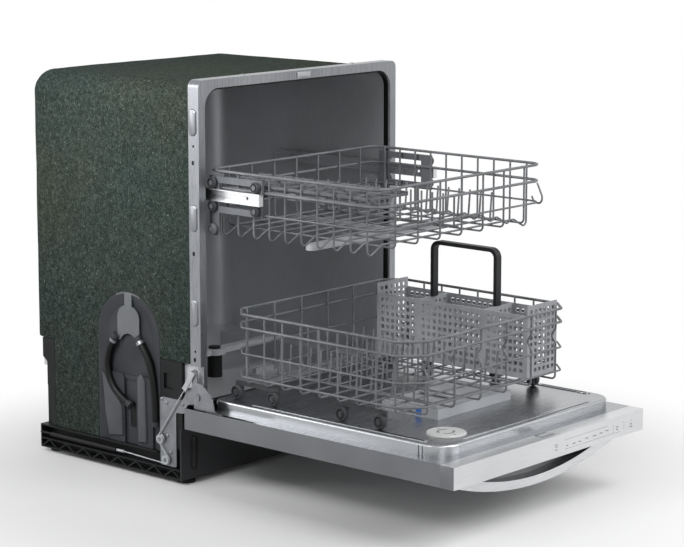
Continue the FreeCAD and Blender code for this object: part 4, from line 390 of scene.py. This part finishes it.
def arrow_head(size, height):
    """A thin triangle that points along X."""
    part = bmesh.new()
    bmesh.ops.create_cone(part, cap_ends=True, segments=3, radius1=size, radius2=size, depth=height)
    turn = Matrix.Rotation(-math.pi / 2, 4, "Z")
    bmesh.ops.transform(part, matrix=Matrix.Translation((0, 0, height / 2)) @ turn, verts=part.verts)
    return part


def bent_wire(points, radius, closed=False):
    """A round wire along points that bends softly at each."""
    curve = bpy.data.curves.new("wire", "CURVE")
    curve.dimensions = "3D"
    curve.bevel_depth = radius
    curve.bevel_resolution = 3
    curve.resolution_u = 6
    curve.use_fill_caps = True
    spline = curve.splines.new("BEZIER")
    spline.bezier_points.add(len(points) - 1)
    spline.use_cyclic_u = closed
    for knot, point in zip(spline.bezier_points, points):
        knot.co = point
        knot.handle_left_type = knot.handle_right_type = "AUTO"
    holder = bpy.data.objects.new("wire", curve)
    bpy.context.scene.collection.objects.link(holder)
    bpy.context.view_layer.update()
    mesh = bpy.data.meshes.new_from_object(holder.evaluated_get(bpy.context.evaluated_depsgraph_get()))
    part = bmesh.new()
    part.from_mesh(mesh)
    bpy.data.objects.remove(holder)
    bpy.data.curves.remove(curve)
    bpy.data.meshes.remove(mesh)
    bmesh.ops.remove_doubles(part, verts=part.verts, dist=0.05)
    bmesh.ops.recalc_face_normals(part, faces=part.faces)
    return part


# Camera, fitted to the photograph's straight edges: focus and rise in pixels, place in metres

PHOTO_WIDTH = 684
PHOTO_FOCUS = 2308.5
PHOTO_RISE = -45.0
PHOTO_YAW = math.radians(-48.664)
PHOTO_PITCH = math.radians(9.224)
CAMERA_PLACE = (-3.4769, -3.1051, 1.2612)


def make_camera():
    """The camera at the photograph's viewing angle."""
    camera = bpy.data.cameras.new("camera")
    camera.sensor_width = 36.0
    camera.lens = PHOTO_FOCUS / PHOTO_WIDTH * camera.sensor_width
    camera.shift_y = PHOTO_RISE / PHOTO_WIDTH
    camera.clip_end = 100
    holder = bpy.data.objects.new("camera", camera)
    bpy.context.scene.collection.objects.link(holder)
    holder.location = CAMERA_PLACE
    holder.rotation_euler = (math.pi / 2 - PHOTO_PITCH, 0, PHOTO_YAW)
    bpy.context.scene.camera = holder


# Studio, in metres

SKY_LIGHT = 0.33
FLOOR_LIGHT = 0.24
FLOOR_FADE_START, FLOOR_FADE_END = 0.5, 1.05
FLOOR_RADIUS = 12
OBJECT_MIDDLE = (0, 0, 0.4)
FELT_SIDE = (-0.29, 0.33, 0.78)
OPEN_DOOR = (0, -0.5, 0.2)


def lamp(name, place, aim, size, power, spread=180):
    """A rectangular lamp. A smaller spread, in degrees, keeps its light on what it points at."""
    light = bpy.data.lights.new(name, "AREA")
    light.spread = math.radians(spread)
    light.shape = "RECTANGLE"
    light.size, light.size_y = size
    light.energy = power
    holder = bpy.data.objects.new(name, light)
    bpy.context.scene.collection.objects.link(holder)
    holder.location = place
    holder.rotation_euler = (Vector(aim) - Vector(place)).to_track_quat("-Z", "Y").to_euler()


def white_to_see(tree, light):
    """The strength of white surroundings: 1 where they are seen, reflected or seen through something, and
    a lower one where they light the object."""
    path = add(tree, "LightPath")
    seen = path.outputs["Is Camera Ray"]
    for ray in ("Is Glossy Ray", "Is Transmission Ray"):
        seen = add(tree, "Math", {0: seen, 1: path.outputs[ray]}, operation="MAXIMUM").outputs[0]
    return add(tree, "MapRange", {"Value": seen, "To Min": light, "To Max": 1.0}).outputs[0]


def make_sky():
    """White surroundings."""
    world = bpy.data.worlds.new("studio")
    bpy.context.scene.world = world
    world.use_nodes = True
    tree = world.node_tree
    tree.nodes.clear()
    sky = add(tree, "Background", {"Color": (1, 1, 1, 1), "Strength": white_to_see(tree, SKY_LIGHT)})
    add(tree, "OutputWorld", {"Surface": sky.outputs[0]})


def make_floor():
    """A pale floor that keeps the object's shadow near it and fades into the white surroundings."""
    work = bmesh.new()
    bmesh.ops.create_circle(work, cap_ends=True, segments=96, radius=FLOOR_RADIUS)
    mesh = bpy.data.meshes.new("studio_floor")
    work.to_mesh(mesh)
    work.free()
    floor = bpy.data.objects.new("studio_floor", mesh)
    bpy.context.scene.collection.objects.link(floor)
    material, tree, shader, place = start_finish("pale_floor", {"Base Color": linear("ececec"),
                                                                "Roughness": 0.9})
    far = add(tree, "VectorMath", {0: place}, operation="LENGTH")
    fade = add(tree, "MapRange", {"Value": far.outputs["Value"], "From Min": FLOOR_FADE_START,
                                  "From Max": FLOOR_FADE_END}, interpolation_type="SMOOTHSTEP")
    white = add(tree, "Emission", {"Color": (1, 1, 1, 1), "Strength": white_to_see(tree, FLOOR_LIGHT)})
    mixed = add(tree, "MixShader", {0: fade.outputs[0], 1: shader.outputs["BSDF"], 2: white.outputs[0]})
    output = next(node for node in tree.nodes if node.type == "OUTPUT_MATERIAL")
    tree.links.new(mixed.outputs[0], output.inputs["Surface"])
    mesh.materials.append(material)


def make_lamps():
    """Large soft lamps round the object, and a smaller one that lights the upper part of the felt."""
    lamp("key_left", (-1.3, 0.25, 1.25), FELT_SIDE, (0.7, 0.7), 6.2, 75)
    lamp("back_left", (-2.6, 2.6, 1.2), OBJECT_MIDDLE, (0.7, 1.7), 27)
    lamp("fill_front", (1.4, -2.9, 2.1), OBJECT_MIDDLE, (2.2, 1.6), 52)
    lamp("fill_left", (-2.2, -2.8, 1.5), OBJECT_MIDDLE, (1.4, 1.4), 16)
    lamp("top", (0.3, -1.8, 2.6), OPEN_DOOR, (1.6, 1.0), 9, 100)


bpy.context.scene.view_settings.view_transform = "Standard"
make_camera()
make_sky()
make_floor()
make_lamps()


# Felt blanket round the tub, in millimetres, with its lumps in waves to the metre

FELT_CORNER = 48
FELT_SQUARE = 22
FELT_LUMP = 0.9
FELT_EDGE = 2.2
BROAD_WAVES, FINE_WAVES = 9, 31


def make_felt():
    """The blanket, cut into small squares so that its faces can bow a little, with softened cut edges. The
    faces inside it, at the seam before its round back corners, are taken out first."""
    low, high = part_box("insulation_blanket")
    seam = high.y - FELT_CORNER * MM
    work = bmesh.new()
    work.from_mesh(nodes["insulation_blanket"].data)
    bmesh.ops.remove_doubles(work, verts=work.verts, dist=0.01 * MM)
    inside = [face for face in work.faces if abs(face.normal.y) > 0.99
              and abs(face.calc_center_median().y - seam) < 0.05 * MM]
    bmesh.ops.delete(work, geom=inside, context="FACES")
    bmesh.ops.dissolve_limit(work, angle_limit=math.radians(1), verts=work.verts, edges=work.edges)
    for axis in range(3):
        normal = [0, 0, 0]
        normal[axis] = 1
        count = int((high[axis] - low[axis]) / (FELT_SQUARE * MM))
        for index in range(1, count):
            spot = list(low)
            spot[axis] += index * (high[axis] - low[axis]) / count
            everything = work.verts[:] + work.edges[:] + work.faces[:]
            bmesh.ops.bisect_plane(work, geom=everything, plane_co=spot, plane_no=normal)
    work.normal_update()
    middle = (low + high) / 2
    for vert in work.verts:
        outward = vert.normal.dot(vert.co - middle) > 0
        if outward and len(vert.link_faces) == 4:
            lump = noise.noise(vert.co * BROAD_WAVES) + 0.5 * noise.noise(vert.co * FINE_WAVES)
            vert.co += vert.normal * lump * FELT_LUMP * MM
    rims = [edge for edge in work.edges if edge.is_manifold and edge.calc_face_angle() > math.radians(50)]
    bmesh.ops.bevel(work, geom=rims, offset=FELT_EDGE * MM, offset_type="OFFSET", segments=2, profile=0.5,
                    affect="EDGES", material=-1, clamp_overlap=True)
    felt = finish_piece("felt_blanket", work, "cabinet", "felt")
    smooth(felt, 40)
    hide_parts("insulation_blanket")


make_felt()


# Front frame: heights on its side returns, and places on its top

RETURN_MIDDLE = 80
PRESSED_HEIGHTS = (742, 552, 362)
KEYHOLE_HEIGHTS = (662, 481, 267)
TOP_SCREWS = ((-155, 80), (181, 85))
STRIKE_X, STRIKE_HEIGHT = 6, 816


def make_frame_details():
    """Pressed ovals, keyholes painted as black shade, the strike and the screws of the stainless front
    frame.
    """
    low, high = box_mm("tub_front_frame")
    pressed = bmesh.new()
    keyholes = bmesh.new()
    screws = bmesh.new()
    for side in (-1, 1):
        out = (side, 0, 0)
        for height in PRESSED_HEIGHTS:
            place_into(pressed, oval(54, 20, 3, 2.6), (side * high.x, RETURN_MIDDLE, height), out, UP)
        # Painted shade: each keyhole is a thin black oval standing for the dark inside of the hole
        for height in KEYHOLE_HEIGHTS:
            place_into(keyholes, oval(9, 6, 0.4, 0.1), (side * high.x, RETURN_MIDDLE, height), out, UP)
    for x, y in TOP_SCREWS:
        place_into(screws, screw_head(4.5, 2), (x, y, high.z))
    smooth(finish_piece("frame_pressed_ovals", pressed, "cabinet", "frame_steel"))
    finish_piece("frame_keyhole_shade", keyholes, "cabinet", "black_rubber")
    smooth(finish_piece("frame_screws", screws, "cabinet", "zinc"))
    strike = bmesh.new()
    place_into(strike, slab((39, 11, 2.2), 0.6), (STRIKE_X, low.y, STRIKE_HEIGHT), FRONT)
    place_into(strike, slab((24, 5, 3), 0.4), (STRIKE_X, low.y, STRIKE_HEIGHT - 1), FRONT)
    smooth(finish_piece("door_strike", strike, "cabinet", "grey_plastic"))


make_frame_details()


# Hinges: the outer face of the plates, and the rivets' places on it as (y, z)

PLATE_FACE = 293
RIVETS = ((182, 171), (168, 165), (122, 169), (88, 191), (167, 97), (158, 63))


def make_rivets():
    """Domed rivets on the two hinge plates."""
    work = bmesh.new()
    for side in (-1, 1):
        for y, z in RIVETS:
            place_into(work, oval(8, 8, 2, 1.4), (side * PLATE_FACE, y, z), (side, 0, 0), UP)
    smooth(finish_piece("hinge_rivets", work, "cabinet", "zinc"))


make_rivets()


# Inlet duct: limits of its chamber, the planes that its details stand on, and places on them as (y, z)

CHAMBER_MIDDLE, CHAMBER_HALF = 279, 34
CHAMBER_FOOT, CHAMBER_TOP = 276, 377
COVER_THICK = 0.6
PILLAR_FOOT, SLOT_FOOT = -291, -285
LEFT_PILLAR = ((356, 205), (340, 186), (324, 166), (308, 149), (299, 137), (297, 76), (338, 70), (348, 120))
RIGHT_PILLAR = ((252, 203), (241, 214), (230, 200), (227, 72), (251, 69))
HOSE_SLOT = (273, 122)


def make_duct_cover():
    """The paler cover of the duct's chamber, raised from the chamber's own outer faces."""
    work = bmesh.new()
    work.from_mesh(nodes["water_inlet_duct"].data)
    bmesh.ops.remove_doubles(work, verts=work.verts, dist=0.01 * MM)
    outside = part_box("insulation_blanket")[0].x
    others = []
    for face in work.faces:
        centre = face.calc_center_median()
        outer = face.normal.x < -0.99 and abs(centre.x - outside) < 0.1 * MM
        across = abs(centre.y - CHAMBER_MIDDLE * MM) < CHAMBER_HALF * MM
        if not (outer and across and CHAMBER_FOOT * MM < centre.z < CHAMBER_TOP * MM):
            others.append(face)
    bmesh.ops.delete(work, geom=others, context="FACES")
    bmesh.ops.dissolve_faces(work, faces=work.faces[:])
    raised = bmesh.ops.extrude_face_region(work, geom=work.faces[:], use_keep_orig=True)
    lifted = [item for item in raised["geom"] if isinstance(item, bmesh.types.BMVert)]
    bmesh.ops.translate(work, verts=lifted, vec=(-COVER_THICK * MM, 0, 0))
    bmesh.ops.recalc_face_normals(work, faces=work.faces)
    finish_piece("duct_cover", work, "cabinet", "duct_cover")


def make_duct_details():
    """The two upright pillars, and between them a black oval painted as the shade in the hose slot."""
    pillars = bmesh.new()
    for outline in (LEFT_PILLAR, RIGHT_PILLAR):
        points = [(-y, z) for y, z in outline]
        place_into(pillars, plate(points, 5, 3), (PILLAR_FOOT, 0, 0), LEFT, FRONT)
    smooth(finish_piece("duct_pillars", pillars, "cabinet", "duct_pillar"))
    slot = bmesh.new()
    # Painted shade: a thin black oval stands for the dark inside of the hose slot
    place_into(slot, oval(56, 15, 0.4, 0.1), (SLOT_FOOT, *HOSE_SLOT), LEFT, UP)
    finish_piece("duct_slot_shadow", slot, "cabinet", "black_rubber")


make_duct_cover()
make_duct_details()


# Toe kick

KICK_FACE = 121.6
KICK_SLOT_X, KICK_SLOT_HEIGHT = 262, 63
KICK_SLOT_STRAIGHT, KICK_SLOT_ROUND = 27, 7.5
LIP_POINTS, LIP_RADIUS = 16, 1.6


def make_toe_details():
    """Rolled lips with round ends round the toe kick's two slots."""
    work = bmesh.new()
    for side in (-1, 1):
        path = []
        for turn in range(LIP_POINTS):
            angle = 2 * math.pi * turn / LIP_POINTS + math.pi / LIP_POINTS
            end = KICK_SLOT_HEIGHT + math.copysign(KICK_SLOT_STRAIGHT, math.sin(angle))
            path.append((side * KICK_SLOT_X + KICK_SLOT_ROUND * math.cos(angle), KICK_FACE,
                         end + KICK_SLOT_ROUND * math.sin(angle)))
        place_into(work, bent_wire(path, LIP_RADIUS, closed=True), (0, 0, 0))
    smooth(finish_piece("toe_slot_lips", work, "cabinet", "base_plastic"), 60)


make_toe_details()


# Wheels and rollers

WHEEL_RADIUS, ROLLER_RADIUS = 14, 11
WHEELS = ("lower_wheels_1", "lower_wheels_2", "lower_wheels_3", "lower_wheels_4")
ROLLERS = ("rollers_top_rear", "rollers_top_front", "rollers_low_rear", "rollers_low_front")


def make_wheel_faces(body, radius):
    """A raised lip on a pair of wheels' outer faces, and inside it a black ring painted as a groove's shade.
    """
    low, high = box_mm(body)
    middle = (low + high) / 2
    lip = ((radius - 4, 0), (radius - 1.4, 0), (radius - 1.8, 0.9), (radius - 3.4, 0.9))
    dark = ((radius - 5.4, 0), (radius - 4.1, 0), (radius - 4.1, 0.3), (radius - 5.4, 0.3))
    rings = bmesh.new()
    groove = bmesh.new()
    for side in (-1, 1):
        centre = (side * high.x, middle.y, middle.z)
        place_into(rings, turned_shape(lip), centre, (side, 0, 0), UP)
        # Painted shade: a thin black ring stands for the dark inside of a groove
        place_into(groove, turned_shape(dark), centre, (side, 0, 0), UP)
    smooth(finish_piece(body + "_rings", rings, body, "wheel_plastic"), 30)
    finish_piece(body + "_groove_shade", groove, body, "black_rubber")


for wheel_body in WHEELS:
    make_wheel_faces(wheel_body, WHEEL_RADIUS)
for roller_body in ROLLERS:
    make_wheel_faces(roller_body, ROLLER_RADIUS)


# Door liner

LINER_TOP = box_mm("door_inner_liner")[1].z
BORDER_WIDTH, BORDER_HEIGHT = 12, 1.6
BORDER_FRONT, BORDER_SIDE = -517, 258
STRIP_MIDDLE, SLOT_MIDDLE = -262, -420
NOTCH_SIDE, NOTCH_MIDDLE, NOTCH_HEIGHT = 274, -479, 173


def make_liner_details():
    """A raised border round the liner's field, with thin black ovals on it painted as the shade in its
    slots, and notches on the liner's side walls.
    """
    border = bmesh.new()
    front = slab((400, BORDER_WIDTH, BORDER_HEIGHT), 0.7)
    place_into(border, front, (0, BORDER_FRONT, LINER_TOP))
    slots = bmesh.new()
    notches = bmesh.new()
    for side in (-1, 1):
        strip = slab((BORDER_WIDTH, 440, BORDER_HEIGHT), 0.7)
        place_into(border, strip, (side * BORDER_SIDE, STRIP_MIDDLE, LINER_TOP))
        # Painted shade: a thin black oval on the border stands for the dark inside of each slot
        slot_shade_place = (side * BORDER_SIDE, SLOT_MIDDLE, LINER_TOP + BORDER_HEIGHT)
        place_into(slots, oval(112, 4, 0.4, 0.1), slot_shade_place, UP, (0, 1, 0))
        for step in (-4.5, 4.5):
            notch_place = (side * NOTCH_SIDE, NOTCH_MIDDLE + step, NOTCH_HEIGHT)
            place_into(notches, slab((24, 3, 2), 0.9), notch_place, (side, 0, 0), UP)
    smooth(finish_piece("liner_border", border, "door", "liner_steel"))
    finish_piece("liner_border_slot_shade", slots, "door", "black_rubber")
    smooth(finish_piece("liner_notches", notches, "door", "liner_steel"))


make_liner_details()


# Dispenser and rinse-aid cap

LID_GRIP_INSET = 18
LID_RIBS, LID_RIB_INSET, LID_RIB_STEP = 4, 14, 8
BLUE_MARK = (-115, -345, 198)
CAP_FOOT = LINER_TOP + 0.4
CAP_HEIGHT = 4
CAP_OUTLINE = ((0, 0), (38, 0), (38, 2.6), (36.6, CAP_HEIGHT), (31.4, CAP_HEIGHT), (31, 3.4), (30.2, 3.4),
               (29.8, CAP_HEIGHT), (0, CAP_HEIGHT))
CAP_MARK_HEIGHT = 0.3

# Curved bands of the turning arrows: inner and outer radius, first angle and sweep
CAP_ARCS = ((15, 18, 35, 110), (13, 16, 200, 120))
# Their heads: angle and distance from the middle
CAP_HEADS = ((150, 16.5), (325, 14.5))
CAP_BARS, CAP_BAR_REACH = (75, 255), 26


def make_dispenser_details():
    """A grip and low ribs on the detergent lid, and a small blue mark on the dispenser's side."""
    low, high = box_mm("detergent_lid")
    middle = (low.y + high.y) / 2
    grip = bmesh.new()
    place_into(grip, slab((20, 80, 3), 1.2), (high.x - LID_GRIP_INSET, middle, high.z))
    for step in range(LID_RIBS):
        x = low.x + LID_RIB_INSET + LID_RIB_STEP * step
        place_into(grip, slab((2, 70, 0.8), 0.3), (x, middle, high.z))
    smooth(finish_piece("detergent_lid_grip", grip, "detergent_lid", "grey_plastic"))
    mark = bmesh.new()
    place_into(mark, slab((16, 14, 0.6), 0.2), BLUE_MARK, LEFT, UP)
    finish_piece("dispenser_mark", mark, "door", "blue_mark")


def make_cap():
    """The flat white rinse-aid cap: a disc with a fine groove, two turning arrows and two small bars."""
    low, high = box_mm("rinse_aid_cap")
    centre = (low + high) / 2
    disc = bmesh.new()
    place_into(disc, turned_shape(CAP_OUTLINE), (centre.x, centre.y, CAP_FOOT))
    cap = smooth(finish_piece("rinse_cap_disc", disc, "rinse_aid_cap", "white_plastic"))
    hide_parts("rinse_aid_cap")
    marks = bmesh.new()
    top = Vector((centre.x, centre.y, CAP_FOOT + CAP_HEIGHT))
    for inner, outer, first, sweep in CAP_ARCS:
        place_into(marks, arc_band(inner, outer, CAP_MARK_HEIGHT, first, sweep), top)
    for turn, reach in CAP_HEADS:
        place_into(marks, arrow_head(5, CAP_MARK_HEIGHT), top + around(turn) * reach, UP, around(turn + 90))
    for turn in CAP_BARS:
        spot = top + around(turn) * CAP_BAR_REACH
        place_into(marks, slab((5, 3, CAP_MARK_HEIGHT), 0.1), spot, UP, around(turn))
    finish_piece("rinse_cap_marks", marks, "rinse_aid_cap", "printed_marks")


make_dispenser_details()
make_cap()


# Control strip and handle: marks on the strip's face as (x, z), with lengths

FASCIA_FACE = box_mm("control_fascia")[0].y
PRINT_HEIGHT = 0.25
POWER_RING = (10, 145)
DASHES = ((10, 137, 7), (46, 139, 6), (68, 139, 9), (87, 139, 8), (110, 141, 9), (136, 141, 12),
          (158, 142, 9), (178, 143, 10), (213, 144, 7), (213, 139, 6), (261, 141, 7), (261, 136, 10))
DOTS = ((200, 148), (200, 142), (200, 136), (236, 149), (236, 143), (236, 137), (261, 149))
LINES = ((108, 151.5, 144), (131, 133, 184))
END_PLATE_SIDE, END_PLATE_MIDDLE, END_PLATE_HEIGHT = 303, -566.5, 143.5

# The scoop's section from its front lip to the door: depth, and the share of the way up
SCOOP_ROWS = ((0, 0), (9, 0), (15, 0.05), (18.6, 0.16), (20, 0.36), (21, 0.58), (23.6, 0.78), (29, 0.93),
              (40, 1))
SCOOP_HALF, SCOOP_FRONT, SCOOP_DEEP = 276, -523.5, 49
HANDLE_HALF, DOOR_UNDERSIDE = 290, 122


def make_fascia_marks():
    """Printed marks of the control strip: a power ring, rows of dashes and dots, and two thin lines."""
    work = bmesh.new()
    ring = turned_shape(((2.6, 0), (3.4, 0), (3.4, PRINT_HEIGHT), (2.6, PRINT_HEIGHT)))
    place_into(work, ring, (POWER_RING[0], FASCIA_FACE, POWER_RING[1]), FRONT)
    for x, z, length in DASHES:
        place_into(work, slab((length, 1.6, PRINT_HEIGHT), 0.1), (x, FASCIA_FACE, z), FRONT)
    for x, z in DOTS:
        place_into(work, oval(2, 2, PRINT_HEIGHT, 0.1), (x, FASCIA_FACE, z), FRONT)
    for x, z, length in LINES:
        place_into(work, slab((length, 0.5, PRINT_HEIGHT), 0.1), (x, FASCIA_FACE, z), FRONT)
    finish_piece("fascia_marks", work, "door", "printed_marks")


def make_door_ends():
    """Steel end plates that carry the door's side round to the control strip."""
    work = bmesh.new()
    for side in (-1, 1):
        centre = (side * END_PLATE_SIDE, END_PLATE_MIDDLE, END_PLATE_HEIGHT)
        place_into(work, slab((31, 42.6, 0.5), 0.2), centre, (side, 0, 0), (0, 1, 0))
    smooth(finish_piece("fascia_end_plates", work, "door", "door_steel"))


def make_handle_scoop():
    """The curved sheet behind the bow handle: a floor under the fingers and a back wall up to the door."""
    work = bmesh.new()
    last = len(SCOOP_ROWS) - 1
    bmesh.ops.create_grid(work, x_segments=28, y_segments=last, size=0.5)
    for vert in work.verts:
        x = 2 * SCOOP_HALF * vert.co.x
        depth, rise = SCOOP_ROWS[round((vert.co.y + 0.5) * last)]
        lip = DOOR_UNDERSIDE - SCOOP_DEEP * (1 - (x / HANDLE_HALF) ** 2)
        vert.co = (x, SCOOP_FRONT + depth, lip + (DOOR_UNDERSIDE - lip) * rise)
    bmesh.ops.recalc_face_normals(work, faces=work.faces)
    if sum(face.normal.z for face in work.faces) < 0:
        bmesh.ops.reverse_faces(work, faces=work.faces)
    bmesh.ops.solidify(work, geom=work.faces[:], thickness=2)
    shell = bmesh.new()
    place_into(shell, work, (0, 0, 0))
    smooth(finish_piece("handle_scoop", shell, "door", "handle_lining"), 50)


make_fascia_marks()
make_door_ends()
make_handle_scoop()


# Racks: the wire stop's path, and the stem grips and the bar of the cup shelf

RACK_STOP = [(255, -348, 604), (255, -356, 588), (255, -361, 574), (255, -357, 565), (255, -350, 563),
             (255, -341, 566), (255, -335, 576)]
GRIP_COLUMNS = (40, 66, 92)
GRIP_STATIONS, GRIP_END = 7, 26
GRIP_APART, GRIP_SINK = 9, 2
GRIP_ALONG, GRIP_ASIDE = 0.94, 0.342
BAR_INSET, BAR_FOOT = 1, 604
BAR_KNUCKLES, KNUCKLE_END, KNUCKLE_FOOT = 5, 40, 602


def make_rack_details():
    """The bent wire stop at the upper rack's right front corner."""
    work = bmesh.new()
    place_into(work, bent_wire(RACK_STOP, 2), (0, 0, 0))
    smooth(finish_piece("upper_rack_stop", work, "upper_rack", "rack_wire"))


def make_shelf_details():
    """Stem grips in leaning pairs on the folding cup shelf, and the moulded bar that it hangs on."""
    low, high = box_mm("cup_shelf")
    length = high.y - low.y
    grips = bmesh.new()
    for station in range(GRIP_STATIONS):
        y = low.y + GRIP_END + station * (length - 2 * GRIP_END) / (GRIP_STATIONS - 1)
        for column in GRIP_COLUMNS:
            for lean in (-1, 1):
                centre = (low.x + column, y + GRIP_APART * lean, high.z - GRIP_SINK)
                place_into(grips, oval(20, 4, 5, 1.4), centre, UP, (GRIP_ALONG, GRIP_ASIDE * lean, 0))
    smooth(finish_piece("cup_shelf_grips", grips, "cup_shelf", "bracket_plastic"))
    bar = bmesh.new()
    place_into(bar, slab((8, length, 11), 1.5), (low.x + BAR_INSET, (low.y + high.y) / 2, BAR_FOOT))
    for station in range(BAR_KNUCKLES):
        y = low.y + KNUCKLE_END + station * (length - 2 * KNUCKLE_END) / (BAR_KNUCKLES - 1)
        place_into(bar, slab((11, 18, 15), 2), (low.x + BAR_INSET, y, KNUCKLE_FOOT))
    smooth(finish_piece("cup_shelf_bar", bar, "upper_rack", "bracket_plastic"))


make_rack_details()
make_shelf_details()
